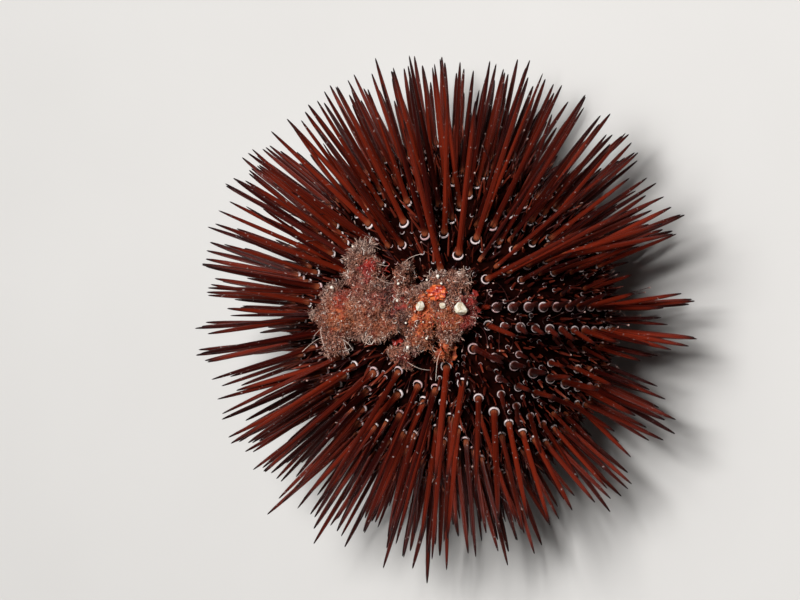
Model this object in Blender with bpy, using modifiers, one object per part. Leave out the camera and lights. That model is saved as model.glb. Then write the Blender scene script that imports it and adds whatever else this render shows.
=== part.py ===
"""Rock sea urchin at life size, spread over the floor with a clump of alga on its back.

Metres, +Z up. The origin is on the floor under the middle of the spines. The test is the
round shell of plates: five ambulacra and five interambulacra, each with its own spines,
an apical disc on top and the mouth with its five teeth underneath.
"""
import math

import bmesh
import bpy
import numpy as np
from mathutils import Matrix, Vector, noise

# Driving dimensions of the test, in metres
TEST_RADIUS = 0.0250
TEST_RISE = 0.0168
TEST_DROP = 0.0095
WIDEST_LEVEL = 0.0165
UNDERSIDE_POWER = 0.80
APICAL_RADIUS = 0.0050
APICAL_DEPTH = 0.0022
MOUTH_RADIUS = 0.0082
MOUTH_DEPTH = 0.0030
GAP = 0.0003
LATHE_STEPS = 40
LATHE_TURN = 2.25
UPPER_ROWS = 9
LOWER_ROWS = 7
DISC_STEPS = 20

# The ten areas, in degrees round the vertical axis
AREAS = 5
AREA_TURN = 72.0
WHOLE_TURN = -1.74
AMBULACRUM_HALF = 13.5
INTERAMBULACRUM_HALF = 22.5

# Columns of spines in degrees: highest latitudes of the left and right one, step, side and size
NARROW_TOPS = (62.1, 65.1)
NARROW_STEP = 6.1
NARROW_SIDE = 0.0008
NARROW_SIDE_GROWTH = 0.039
NARROW_SIZE = 0.92
WIDE_TOPS = (70.4, 66.4)
WIDE_STEP = 8.4
WIDE_SIDE = 12.0
INNER_TOP = 48.0
INNER_LOWEST = -20.0
INNER_SIDE = 3.0
INNER_SIDE_GROWTH = 0.085
INNER_SIDE_MOST = 5.5
INNER_SIZE = 0.85
OUTER_TOP = 45.0
OUTER_STEP = 14.4
OUTER_LOWEST = -12.0
OUTER_SIDE = 18.0
OUTER_SIZE = 0.80
LOWEST_LATITUDE = -71.0
THINNED_LATITUDE = -22.0

# Slim spines between them: rows from the highest latitude down, room along a row and round
# each, and how far they are shaken off the lattice
SLIM_TOP = 67.0
SLIM_LOWEST = -64.0
SLIM_STEP = 7.4
SLIM_SPACING = 0.0032
SLIM_SHAKE = 0.30
SLIM_CLEARING = 0.0015
SLIM_TO_BORDER = 0.0010
SLIM_SIZE = 0.70
SLIM_SHORTEST = 0.0030
SLIM_OFF_FLOOR = 0.93
SLIM_SEED = 23

# Spines
LONGEST = 0.0280
SHORTEST = 0.0062
TIP_REACH = 0.0364
TIP_SCATTER = 0.045
TIP_RING_SHIFT = (-0.0012, 0.0014)
ROOT_RADIUS = 0.00056
WAIST_RADIUS = 0.00040
WAIST_PLACE = 0.5
POINT_RADIUS = 0.00012
ROOT_SINK = 0.0008
STANDING_REACH = 1.2
BLUNTING = 1.45
SPINE_SIDES = 4
SLIM_SIDES = 3
SIZES = (0.70, 0.80, 1.0)
LENGTH_SHARES = (0.66, 0.91, 1.0)
SAME_NODE_GAP = 0.00018
OTHER_NODE_GAP = 0.00036
RELAX_ROUNDS = 70
CLEAR_EVERY = 10
PARTING_MARGIN = 1.3
FOOT_SHARE = 0.02
LEVER_SHARE = 0.25
SHORTEST_KEPT = 0.0012
SEED = 11

# The way the photo looks at the animal, in degrees off the vertical, and how the spines that
# are seen fan out from that line: reach of the root across it against angle off it
FACING_TILT = 26.45
FAN_RISE = 0.0006
FAN_CORE = 0.008
SEEN_FACINGS = (-0.05, 0.30)
SPREAD_REACHES = (0.0120, 0.0180, 0.0240)
SPREAD_ANGLES = (59.0, 66.0, 76.0)
LEFT_SPREAD = 12.0
LEFT_SPREAD_FALL = 0.35
LEFT_LATITUDE = 25.0
SPREAD_SCATTER = 5.0
BUNDLE_TURN = 3.0
BUNDLE_WAVES = ((5.0, 0.13), (11.0, -0.21))
LEAST_SLIDE = 0.30
HEADING_SCATTER = 3.5

# The spines ahead of the viewer stand up, and part to both sides of the middle of their area
AHEAD_MIDDLE = -15.0
AHEAD_AZIMUTHS = (24.0, 45.0)
AHEAD_REACHES = (0.0080, 0.0160, 0.0195, 0.0225, 0.0250)
AHEAD_ANGLES = (3.0, 6.0, 16.0, 45.0, 70.0)
AHEAD_LENGTH = 0.0170
PARTED_REACHES = (0.0175, 0.0225)
PARTING_TURN = 44.0

# The spines that the photo doesn't show: latitude against angle off the vertical, and length
FREE_LATITUDES = (-65.0, -40.0, -15.0, 0.0, 20.0, 45.0, 62.0)
FREE_ANGLES = (152.0, 128.0, 103.0, 88.0, 74.0, 62.0, 52.0)
FREE_SCATTER = 4.0
LENGTH_LATITUDES = (-65.0, -35.0, -10.0, 5.0)
FREE_LENGTHS = (0.0075, 0.0105, 0.0140, 0.0155)
LENGTH_SCATTER = 0.06

# Bending spines up off the test and out from under the clump
LEAST_LEAN = 0.34
LEAST_BENT_LEAN = 0.30
BEND_ROUNDS = 4
BEND_STEP = 0.25
BEND_DIP = 0.25
CLEAR_STEPS = 40
CUT_BACK = 0.04

# The clump of alga: lobe centres east and north, half sizes, and lift over the test
LOBES = (
    (-0.0052, 0.0059, 0.0038, 0.0048, 0.0034),
    (-0.0095, 0.0001, 0.0055, 0.0053, 0.0034),
    (-0.0022, 0.0007, 0.0062, 0.0050, 0.0040),
    (0.0014, 0.0047, 0.0024, 0.0039, 0.0034),
    (0.0040, -0.0006, 0.0042, 0.0056, 0.0036),
    (0.0089, 0.0011, 0.0049, 0.0064, 0.0036),
    (0.0010, -0.0062, 0.0027, 0.0030, 0.0030),
    (0.0085, -0.0052, 0.0020, 0.0027, 0.0028),
    (-0.0106, -0.0038, 0.0034, 0.0035, 0.0030),
)
LOBE_LIFT = 0.0030
LOBE_ROUGHNESS = 0.0007
SEAT_RADIUS = 0.0062
RIM_RADIUS = 0.0108
RIM_LIFT = 0.0030
TUFTS_PER_LOBE = 11
TUFT_LENGTH = 0.0021
TUFT_ROOT = 0.00042
TUFT_WAIST = 0.00027
TUFT_TOP = 0.92
TUFT_FALL = 1.25
TUFT_LEAN = 0.25
TUFT_LENGTHS = (0.6, 1.25)
LUMP_GRAIN = 2.3
CRUST_GRAIN = 3.0
SHELL_GRAIN = 1.7

# Hard bits caught in the alga: east, north, half sizes, roughness and how far they stand up
CRUST = (0.0080, 0.0032, 0.0019, 0.0012, 0.0012, 0.0004, 0.0004)
SHELLS = (
    (0.0117, 0.0008, 0.0011, 0.0013, 0.0009, 0.0002, 0.0005),
    (0.0056, 0.0011, 0.0008, 0.0008, 0.0006, 0.0002, 0.0004),
    (0.0090, 0.0012, 0.0006, 0.0005, 0.0005, 0.0001, 0.0003),
)

# The teeth and the lip round them
TOOTH_TIP_RADIUS = 0.0002
TOOTH_HEAD_RADIUS = 0.0009
TOOTH_LENGTH = 0.0032
TOOTH_SPREAD = 0.0012
TOOTH_DROP = 0.0023
TOOTH_SIDE = 0.0005
LIP = ((0.0060, 0.0002), (0.0038, -0.0003), (0.0026, -0.0011), (0.0018, -0.0009), (0.0, -0.0002))


def profile_point(latitude):
    """Radius and height of the test surface at a latitude in degrees, 0 at the widest level.

    Above it is an ellipse, below it a flatter superellipse."""
    angle = math.radians(abs(latitude))
    if latitude >= 0.0:
        return TEST_RADIUS * math.cos(angle), WIDEST_LEVEL + TEST_RISE * math.sin(angle)
    radius = TEST_RADIUS * math.cos(angle) ** UNDERSIDE_POWER
    return radius, WIDEST_LEVEL - TEST_DROP * math.sin(angle) ** UNDERSIDE_POWER


def profile_normal(latitude):
    """Outward normal of the profile as radial and vertical parts, from a small step."""
    r0, z0 = profile_point(latitude - 0.5)
    r1, z1 = profile_point(latitude + 0.5)
    length = math.hypot(r1 - r0, z1 - z0)
    return (z1 - z0) / length, (r0 - r1) / length


def latitude_of_radius(radius, upper):
    """Latitude at which the profile has the given radius, on the upper or lower side."""
    if upper:
        return math.degrees(math.acos(radius / TEST_RADIUS))
    ratio = (radius / TEST_RADIUS) ** (1.0 / UNDERSIDE_POWER)
    return -math.degrees(math.acos(ratio))


def spine_sites():
    """Every spine root: node name, latitude and azimuth in degrees, and size factor."""
    sites = []
    for area in range(AREAS):
        middle = AREA_TURN * area + WHOLE_TURN
        ambulacrum = f"ambulacrum_{area + 1}"
        for side, top in zip((1, -1), NARROW_TOPS):
            above = np.arange(top, THINNED_LATITUDE, -NARROW_STEP)
            below = np.arange(above[-1] - 2 * NARROW_STEP, LOWEST_LATITUDE, -2 * NARROW_STEP)
            for latitude in np.concatenate([above, below]):
                radius = profile_point(latitude)[0]
                offset = NARROW_SIDE + NARROW_SIDE_GROWTH * radius
                turn = middle + side * math.degrees(offset / radius)
                sites.append((ambulacrum, latitude, turn, NARROW_SIZE))
        middle += AREA_TURN / 2
        between = f"interambulacrum_{area + 1}"
        for side, top in zip((1, -1), WIDE_TOPS):
            for latitude in np.arange(top, LOWEST_LATITUDE, -WIDE_STEP):
                sites.append((between, latitude, middle + side * WIDE_SIDE, 1.0))
        for side, top in ((1, INNER_TOP), (-1, INNER_TOP - WIDE_STEP / 2)):
            for latitude in np.arange(top, INNER_LOWEST, -WIDE_STEP):
                turn = INNER_SIDE + INNER_SIDE_GROWTH * (INNER_TOP - latitude)
                turn = middle + side * min(turn, INNER_SIDE_MOST)
                sites.append((between, latitude, turn, INNER_SIZE))
        for side in (1, -1):
            for latitude in np.arange(OUTER_TOP, OUTER_LOWEST, -OUTER_STEP):
                sites.append((between, latitude, middle + side * OUTER_SIDE, OUTER_SIZE))
    return sites


def borders_beside(azimuths):
    """Which border of the areas comes next round the axis, and the degrees back and on to one."""
    borders = np.array([-AMBULACRUM_HALF, AMBULACRUM_HALF, AREA_TURN - AMBULACRUM_HALF,
                        AREA_TURN + AMBULACRUM_HALF])
    places = (azimuths - WHOLE_TURN) % AREA_TURN
    following = np.searchsorted(borders, places)
    return following, places - borders[following - 1], borders[following] - places


def slim_sites(taken):
    """Roots of the slim spines as in spine_sites: a shaken lattice without the places that lie
    close to a root already taken or to the border of an area."""
    rng = np.random.default_rng(SLIM_SEED)
    sites = []
    for row in np.arange(SLIM_TOP, SLIM_LOWEST, -SLIM_STEP):
        count = int(2.0 * math.pi * profile_point(row)[0] / SLIM_SPACING)
        shaken = rng.uniform(-SLIM_SHAKE, SLIM_SHAKE, (count, 2))
        latitudes = row + SLIM_STEP * shaken[:, 0]
        azimuths = (np.arange(count) + rng.uniform() + shaken[:, 1]) * 360.0 / count
        following, back, on = borders_beside(azimuths)
        areas = np.floor((azimuths - WHOLE_TURN) / AREA_TURN + (following == 3)).astype(int) % AREAS
        for latitude, azimuth, area, kind, degrees in zip(
                latitudes, azimuths, areas, following, np.minimum(back, on)):
            radius, height = profile_point(latitude)
            turn = math.radians(azimuth)
            root = np.array([radius * math.cos(turn), radius * math.sin(turn), height])
            apart = np.linalg.norm(taken - root, axis=1).min()
            if apart > SLIM_CLEARING and radius * math.radians(degrees) > SLIM_TO_BORDER:
                name = f"interambulacrum_{area + 1}" if kind == 2 else f"ambulacrum_{area + 1}"
                sites.append((name, latitude, azimuth, SLIM_SIZE))
    return sites


def smooth(value, low, high):
    """Zero below low, one above high, and a smooth step between."""
    share = np.clip((value - low) / (high - low), 0.0, 1.0)
    return share * share * (3.0 - 2.0 * share)


def turned(azimuth, polar):
    """Unit vectors at an azimuth and an angle from the vertical, both in degrees."""
    a, p = np.radians(azimuth), np.radians(polar)
    return np.stack([np.sin(p) * np.cos(a), np.sin(p) * np.sin(a), np.cos(p)], axis=-1)


def unit(vectors):
    """The vectors at length one."""
    return vectors / np.linalg.norm(vectors, axis=-1, keepdims=True)


def length_to_ring(places, headings, reach):
    """Length at which a spine, seen along the line of sight, ends on the ring of tips.

    places and headings are the root and the way in the plane across that line. The ring is
    a circle round a shifted centre, so the length solves a quadratic."""
    moved = places - np.array(TIP_RING_SHIFT)
    slide = np.maximum((headings ** 2).sum(1), LEAST_SLIDE)
    along = (moved * headings).sum(1)
    spare = np.maximum(along ** 2 + slide * (reach ** 2 - (moved ** 2).sum(1)), 0.0)
    return (np.sqrt(spare) - along) / slide


def spine_pose(roots, normals, latitudes, azimuths, sizes, rng):
    """Directions and lengths of the spines before they are parted from each other.

    On the side that faces the viewer they fan out from the line of sight and end at one
    reach from it. On the other side and below they stand out from the vertical axis."""
    count = len(roots)
    sight = turned(0.0, FACING_TILT)
    right = turned(0.0, FACING_TILT + 90.0)
    up = np.array([0.0, 1.0, 0.0])
    centre = np.array([0.0, 0.0, WIDEST_LEVEL + FAN_RISE])
    across = (roots - centre) @ right
    along = (roots - centre) @ up
    reach = np.hypot(across, along)
    heading = np.arctan2(along, across)
    bundle = sum(np.sin(turns * heading + slant * latitudes) for turns, slant in BUNDLE_WAVES)
    heading = heading + np.radians(BUNDLE_TURN * bundle + rng.normal(0.0, HEADING_SCATTER, count))
    off_middle = np.abs((azimuths - AHEAD_MIDDLE + 180.0) % 360.0 - 180.0)
    ahead = 1.0 - smooth(off_middle, *AHEAD_AZIMUTHS)
    side = np.sin(4.0 * math.pi * (azimuths - WHOLE_TURN) / AREA_TURN)
    parting = ahead * side * (1.0 - smooth(reach, *PARTED_REACHES))
    heading = heading + np.radians(PARTING_TURN * parting)
    leftward = 0.5 - 0.5 * np.cos(heading)
    spread = np.interp(reach, SPREAD_REACHES, SPREAD_ANGLES)
    spread = spread + leftward * (LEFT_SPREAD - LEFT_SPREAD_FALL * (latitudes - LEFT_LATITUDE))
    spread = spread + rng.normal(0.0, SPREAD_SCATTER, count)
    raised = np.interp(reach, AHEAD_REACHES, AHEAD_ANGLES)
    fan = ahead * np.minimum(raised, spread) + (1.0 - ahead) * spread
    fan = np.radians(fan * smooth(reach, 0.0, FAN_CORE))
    flat = np.cos(heading)[:, None] * right + np.sin(heading)[:, None] * up
    seen_way = np.cos(fan)[:, None] * sight + np.sin(fan)[:, None] * flat
    polar = np.interp(latitudes, FREE_LATITUDES, FREE_ANGLES)
    own_way = turned(azimuths + rng.normal(0.0, FREE_SCATTER, count),
                     polar + rng.normal(0.0, FREE_SCATTER, count))
    seen = smooth(normals @ sight, *SEEN_FACINGS)[:, None]
    ways = unit(seen * seen_way + (1.0 - seen) * own_way)
    level = np.interp(latitudes, LENGTH_LATITUDES, FREE_LENGTHS)
    fitted = length_to_ring(np.stack([across, along], 1), np.stack([ways @ right, ways @ up], 1),
                            TIP_REACH * rng.normal(1.0, TIP_SCATTER, count))
    fitted = ahead * AHEAD_LENGTH + (1.0 - ahead) * fitted
    free = level * rng.normal(1.0, LENGTH_SCATTER, count)
    lengths = seen[:, 0] * fitted + (1.0 - seen[:, 0]) * free
    return ways, np.clip(lengths * np.interp(sizes, SIZES, LENGTH_SHARES), SHORTEST, LONGEST)


def closest(roots, shafts, other_roots, other_shafts):
    """Closest approach of pairs of straight shafts, each a root and a vector to its tip.

    Returns the share along the first, the share along the second, and the vector between."""
    w = roots - other_roots
    a, c = (shafts * shafts).sum(1), (other_shafts * other_shafts).sum(1)
    b = (shafts * other_shafts).sum(1)
    d, e = (shafts * w).sum(1), (other_shafts * w).sum(1)
    cross = np.maximum(a * c - b * b, 1e-18)
    s = np.clip((b * e - c * d) / cross, 0.0, 1.0)
    t = np.clip((b * s + e) / c, 0.0, 1.0)
    s = np.clip((b * t - d) / a, 0.0, 1.0)
    return s, t, w + s[:, None] * shafts - t[:, None] * other_shafts


def spine_radius(share, sizes):
    """Radius of a spine at a share of its length: root, waist, then the point."""
    waist = np.interp(share, (0.0, WAIST_PLACE, 1.0), (ROOT_RADIUS, WAIST_RADIUS, POINT_RADIUS))
    return waist * sizes


def height_over_test(points):
    """Distance of points from the upper surface of the test, to first order."""
    scale = np.array([TEST_RADIUS, TEST_RADIUS, TEST_RISE])
    moved = points - np.array([0.0, 0.0, WIDEST_LEVEL])
    moved[..., 2] = np.maximum(moved[..., 2], 0.0)
    size = np.linalg.norm(moved / scale, axis=-1)
    slope = np.linalg.norm(moved / scale ** 2, axis=-1) / np.maximum(size, 1e-9)
    return (size - 1.0) / np.maximum(slope, 1e-9)


def lobe_centre(lobe):
    """Middle of a lobe: over the test at its east and north place."""
    east, north = lobe[0], lobe[1]
    share = 1.0 - (east * east + north * north) / TEST_RADIUS ** 2
    return Vector((east, north, WIDEST_LEVEL + TEST_RISE * math.sqrt(share) + LOBE_LIFT))


def clump_lift(radius):
    """Height of the clump's underside over the test at a distance from the axis."""
    return GAP + (RIM_LIFT - GAP) * smooth(radius, SEAT_RADIUS, RIM_RADIUS)


def in_clump(points, margin):
    """True where a point is inside the clump grown by a margin."""
    inside = np.zeros(points.shape[:-1], dtype=bool)
    for lobe in LOBES:
        half = np.array(lobe[2:5]) + LOBE_ROUGHNESS
        moved = (points - np.array(lobe_centre(lobe))) / (half + margin[..., None])
        inside |= (moved ** 2).sum(-1) < 1.0
    radius = np.hypot(points[..., 0], points[..., 1])
    return inside & (height_over_test(points) > clump_lift(radius) - margin)


def bend_clear(roots, normals, ways, lengths, sizes):
    """Turns spines up off the test and out from under the clump, and cuts what is left."""
    lean = (ways * normals).sum(1)
    ways = unit(ways + np.clip(LEAST_LEAN - lean, 0.0, 1.0)[:, None] * normals)
    shares = np.linspace(CUT_BACK, 1.0, CLEAR_STEPS)
    for _ in range(BEND_ROUNDS):
        points = roots[:, None] + shares[None, :, None] * (ways * lengths[:, None])[:, None]
        margin = spine_radius(shares[None], sizes[:, None]) + OTHER_NODE_GAP
        hit = in_clump(points, margin)
        pull = unit(roots * np.array([1.0, 1.0, 0.0])) - np.array([0.0, 0.0, BEND_DIP])
        turned_out = unit(ways + BEND_STEP * pull)
        move = hit.any(1) & ((turned_out * normals).sum(1) > LEAST_BENT_LEAN)
        ways = np.where(move[:, None], turned_out, ways)
    first_hit = np.where(hit.any(1), shares[np.argmax(hit, axis=1)], 1.0)
    cut = np.maximum(first_hit - CUT_BACK, 0.5 * CUT_BACK)
    return ways, lengths * np.where(first_hit < 1.0, cut, 1.0)


def close_pairs(nodes, roots, held):
    """Pairs of spines that may meet, apart from pairs of held ones, and the gap each keeps."""
    first, second = np.triu_indices(len(roots), 1)
    near = np.linalg.norm(roots[first] - roots[second], axis=1) < 2.0 * LONGEST
    near &= second >= held
    first, second = first[near], second[near]
    return first, second, np.where(nodes[first] == nodes[second], SAME_NODE_GAP, OTHER_NODE_GAP)


def part_spines(nodes, roots, normals, ways, lengths, sizes, held):
    """Turns spines apart where they would touch, in repeated rounds.

    Each close pair is pushed apart by what the gap between them lacks, one half each. The first
    spines, as many as are held, stay as they are, and the other one of such a pair moves."""
    first, second, gap = close_pairs(nodes, roots, held)
    part = np.where(first < held, 1.0, 0.5)
    ways, lengths = ways.copy(), lengths.copy()
    for step in range(RELAX_ROUNDS):
        shafts = ways * lengths[:, None]
        s, t, between = closest(roots[first], shafts[first], roots[second], shafts[second])
        apart = np.linalg.norm(between, axis=1)
        wanted = spine_radius(s, sizes[first]) + spine_radius(t, sizes[second])
        wanted = wanted + PARTING_MARGIN * gap
        close = (apart < wanted) & (s > FOOT_SHARE) & (t > FOOT_SHARE)
        push = ((wanted - apart) / np.maximum(apart, 1e-6) * part * close)[:, None] * between
        shift = np.zeros_like(ways)
        np.add.at(shift, first, push / np.maximum(s, LEVER_SHARE)[:, None])
        np.add.at(shift, second, -push / np.maximum(t, LEVER_SHARE)[:, None])
        ways[held:] = unit(ways + shift / lengths[:, None])[held:]
        if (step + 1) % CLEAR_EVERY == 0:
            ways[held:], lengths[held:] = bend_clear(roots[held:], normals[held:], ways[held:],
                                                     lengths[held:], sizes[held:])
    return ways, lengths


def cramped(nodes, roots, normals, ways, lengths, sizes, held):
    """True for the spines after the held ones that have no room: they still come too close to
    one before them, or pass low over the border of their area."""
    first, second, gap = close_pairs(nodes, roots, held)
    shafts = ways * lengths[:, None]
    s, t, between = closest(roots[first], shafts[first], roots[second], shafts[second])
    room = np.linalg.norm(between, axis=1)
    room = room - spine_radius(s, sizes[first]) - spine_radius(t, sizes[second])
    tight = np.zeros(len(roots), dtype=bool)
    tight[second[room < gap]] = True
    _, back, on = borders_beside(np.degrees(np.arctan2(roots[:, 1], roots[:, 0])))
    around = unit(np.stack([-roots[:, 1], roots[:, 0], 0.0 * roots[:, 0]], axis=1))
    sideways = (ways * around).sum(1)
    far = np.radians(np.where(sideways > 0.0, on, back)) * np.hypot(roots[:, 0], roots[:, 1])
    run = far / np.maximum(np.abs(sideways), 1e-6)
    low = (ways * normals).sum(1) * run < spine_radius(0.0, sizes) + OTHER_NODE_GAP
    tight[held:] |= (low & (run < lengths))[held:]
    return tight


def stand_on_floor(roots, ways, lengths):
    """Lengths that let the lowest spines stand on the floor.

    A spine that ends close to the floor runs on past it, where it is cut off blunt."""
    to_floor = roots[:, 2] / np.maximum(-ways[:, 2], 1e-3)
    return np.where(to_floor < STANDING_REACH * lengths, to_floor * BLUNTING, lengths)


def posed(sites, rng):
    """Spines at their sites as arrays: node, root, normal, direction, length and size."""
    nodes = np.array([site[0] for site in sites])
    latitudes = np.array([site[1] for site in sites])
    azimuths = np.array([site[2] for site in sites])
    sizes = np.array([site[3] for site in sites])
    profile = np.array([profile_point(latitude) for latitude in latitudes])
    facing = np.array([profile_normal(latitude) for latitude in latitudes])
    east, north = np.cos(np.radians(azimuths)), np.sin(np.radians(azimuths))
    roots = np.stack([profile[:, 0] * east, profile[:, 0] * north, profile[:, 1]], axis=1)
    normals = np.stack([facing[:, 0] * east, facing[:, 0] * north, facing[:, 1]], axis=1)
    ways, lengths = spine_pose(roots, normals, latitudes, azimuths, sizes, rng)
    return nodes, roots, normals, ways, lengths, sizes


def placed_spines():
    """All spines as arrays: node, root, direction, length and size, parted from each other.

    The large ones come first and stand on the floor. The slim ones take the room between them
    and end above the floor, and one that finds no room is left out."""
    nodes, roots, normals, ways, lengths, sizes = posed(spine_sites(), np.random.default_rng(SEED))
    ways, lengths = part_spines(nodes, roots, normals, ways, lengths, sizes, 0)
    lengths = stand_on_floor(roots, ways, lengths)
    held = len(roots)
    slim = posed(slim_sites(roots), np.random.default_rng(SLIM_SEED))
    large = nodes, roots, normals, ways, lengths, sizes
    joined = [np.concatenate(pair) for pair in zip(large, slim)]
    nodes, roots, normals, ways, lengths, sizes = joined
    to_floor = roots[:, 2] / np.maximum(-ways[:, 2], 1e-3)
    lengths[held:] = np.minimum(lengths, SLIM_OFF_FLOOR * to_floor)[held:]
    ways, lengths = part_spines(nodes, roots, normals, ways, lengths, sizes, held)
    kept = lengths > np.where(np.arange(len(roots)) < held, SHORTEST_KEPT, SLIM_SHORTEST)
    kept &= ~cramped(nodes, roots, normals, ways, lengths, sizes, held)
    return nodes[kept], roots[kept], ways[kept], lengths[kept], sizes[kept]


def new_material(name, colour, roughness):
    """A plain finish for one part of the animal."""
    material = bpy.data.materials.new(name)
    material.use_nodes = True
    shader = material.node_tree.nodes["Principled BSDF"]
    shader.inputs["Base Color"].default_value = (*colour, 1.0)
    shader.inputs["Roughness"].default_value = roughness
    shader.inputs["Metallic"].default_value = 0.0
    return material


def mesh_object(name, mesh, collection):
    """A mesh as an object in a collection."""
    item = bpy.data.objects.new(name, mesh)
    collection.objects.link(item)
    return item


def bmesh_object(name, bm, collection):
    """A finished bmesh as an object, with its faces pointing outwards."""
    bmesh.ops.recalc_face_normals(bm, faces=bm.faces)
    mesh = bpy.data.meshes.new(name)
    bm.to_mesh(mesh)
    bm.free()
    return mesh_object(name, mesh, collection)


def apply_modifiers(item):
    """Replaces an object's mesh by what its modifiers make of it."""
    graph = bpy.context.evaluated_depsgraph_get()
    mesh = bpy.data.meshes.new_from_object(item.evaluated_get(graph))
    item.modifiers.clear()
    old = item.data
    item.data = mesh
    mesh.name = item.name
    if isinstance(old, bpy.types.Mesh) and not old.users:
        bpy.data.meshes.remove(old)


def keep_largest(item):
    """Keeps only the largest closed surface of an object's mesh."""
    bm = bmesh.new()
    bm.from_mesh(item.data)
    left = set(bm.faces)
    shells = []
    while left:
        stack = [left.pop()]
        shell = set(stack)
        while stack:
            for edge in stack.pop().edges:
                for face in edge.link_faces:
                    if face in left:
                        left.discard(face)
                        shell.add(face)
                        stack.append(face)
        shells.append(shell)
    shells.sort(key=lambda shell: sum(face.calc_area() for face in shell))
    loose = [face for shell in shells[:-1] for face in shell]
    bmesh.ops.delete(bm, geom=loose, context="FACES")
    bm.to_mesh(item.data)
    bm.free()


def combine(item, other, operation):
    """Cuts or joins with one object or a collection of closed meshes, then removes them."""
    modifier = item.modifiers.new("Combine", "BOOLEAN")
    modifier.operation = operation
    if isinstance(other, bpy.types.Collection):
        modifier.operand_type = "COLLECTION"
        modifier.collection = other
    else:
        modifier.object = other
    apply_modifiers(item)
    used = list(other.objects) if isinstance(other, bpy.types.Collection) else [other]
    for tool in used:
        bpy.data.objects.remove(tool)
    if isinstance(other, bpy.types.Collection):
        bpy.data.collections.remove(other)


def turned_solid(name, outline, steps, collection):
    """A solid of revolution from radius and height pairs that run down its outer side."""
    mesh = bpy.data.meshes.new(name)
    points = [(radius, 0.0, height) for radius, height in outline]
    mesh.from_pydata(points, [(i, i + 1) for i in range(len(points) - 1)], [])
    item = mesh_object(name, mesh, collection)
    screw = item.modifiers.new("Turn", "SCREW")
    screw.steps = steps
    screw.render_steps = steps
    screw.use_merge_vertices = True
    screw.merge_threshold = 0.00001
    apply_modifiers(item)
    return item


def whole_test(collection):
    """The test as one solid, with a seat for the apical disc and one for the mouth.

    It is turned so that no row of spines stands on an edge between its faces."""
    top = latitude_of_radius(APICAL_RADIUS + GAP, True)
    bottom = latitude_of_radius(MOUTH_RADIUS + GAP, False)
    latitudes = list(np.linspace(top, 0.0, UPPER_ROWS))
    latitudes += list(np.linspace(0.0, bottom, LOWER_ROWS))[1:]
    outside = [profile_point(latitude) for latitude in latitudes]
    seat_top = outside[0][1] - APICAL_DEPTH - GAP
    seat_bottom = outside[-1][1] + MOUTH_DEPTH + GAP
    outline = [(0.0, seat_top), (APICAL_RADIUS + GAP, seat_top)]
    outline += outside + [(MOUTH_RADIUS + GAP, seat_bottom), (0.0, seat_bottom)]
    test = turned_solid("test", outline, LATHE_STEPS, collection)
    test.data.transform(Matrix.Rotation(math.radians(WHOLE_TURN + LATHE_TURN), 4, "Z"))
    return test


def sector(name, middle, half, collection):
    """A wedge of space between two upright planes, half a gap inside its borders."""
    reach = 2.0 * TEST_RADIUS
    tip = 0.5 * GAP / math.sin(math.radians(half))
    bm = bmesh.new()
    far = reach / math.cos(math.radians(half))
    flat = [(tip, 0.0)]
    flat += [(tip + far * math.cos(math.radians(a)), far * math.sin(math.radians(a)))
             for a in (-half, half)]
    face = bm.faces.new([bm.verts.new((x, y, -reach)) for x, y in flat])
    grown = bmesh.ops.extrude_face_region(bm, geom=[face])["geom"]
    raised = [item for item in grown if isinstance(item, bmesh.types.BMVert)]
    bmesh.ops.translate(bm, verts=raised, vec=(0.0, 0.0, 3.0 * reach))
    bmesh.ops.rotate(bm, verts=bm.verts, matrix=Matrix.Rotation(math.radians(middle), 3, "Z"))
    return bmesh_object(name, bm, collection)


def cut_at_floor(bm):
    """Cuts a shape flat at the floor and closes it there."""
    geometry = bm.verts[:] + bm.edges[:] + bm.faces[:]
    cut = bmesh.ops.bisect_plane(bm, geom=geometry, plane_co=(0, 0, 0), plane_no=(0, 0, -1),
                                 clear_outer=True)["geom_cut"]
    edges = [item for item in cut if isinstance(item, bmesh.types.BMEdge)]
    if edges:
        bmesh.ops.holes_fill(bm, edges=edges, sides=0)


def spine(name, root, way, length, widths, collection):
    """One spine or tuft: a four-sided shaft from its sunk root to its waist, then a point.

    One with no width at its waist is slim, has three sides and tapers straight to its point."""
    bm = bmesh.new()
    waist = WAIST_PLACE * length if widths[1] else length
    sides = SPINE_SIDES if widths[1] else SLIM_SIDES
    bmesh.ops.create_cone(bm, cap_ends=True, segments=sides, depth=waist + ROOT_SINK,
                          radius1=widths[0], radius2=widths[1])
    bmesh.ops.translate(bm, verts=bm.verts, vec=(0.0, 0.0, 0.5 * (waist - ROOT_SINK)))
    if widths[1]:
        cap = max(bm.faces, key=lambda face: face.calc_center_median().z)
        point = bmesh.ops.poke(bm, faces=[cap])["verts"][0]
        point.co.z = length
    turn = Vector(way).to_track_quat("Z", "X").to_matrix().to_4x4()
    bm.transform(Matrix.Translation(Vector(root)) @ turn)
    cut_at_floor(bm)
    return bmesh_object(name, bm, collection)


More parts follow.
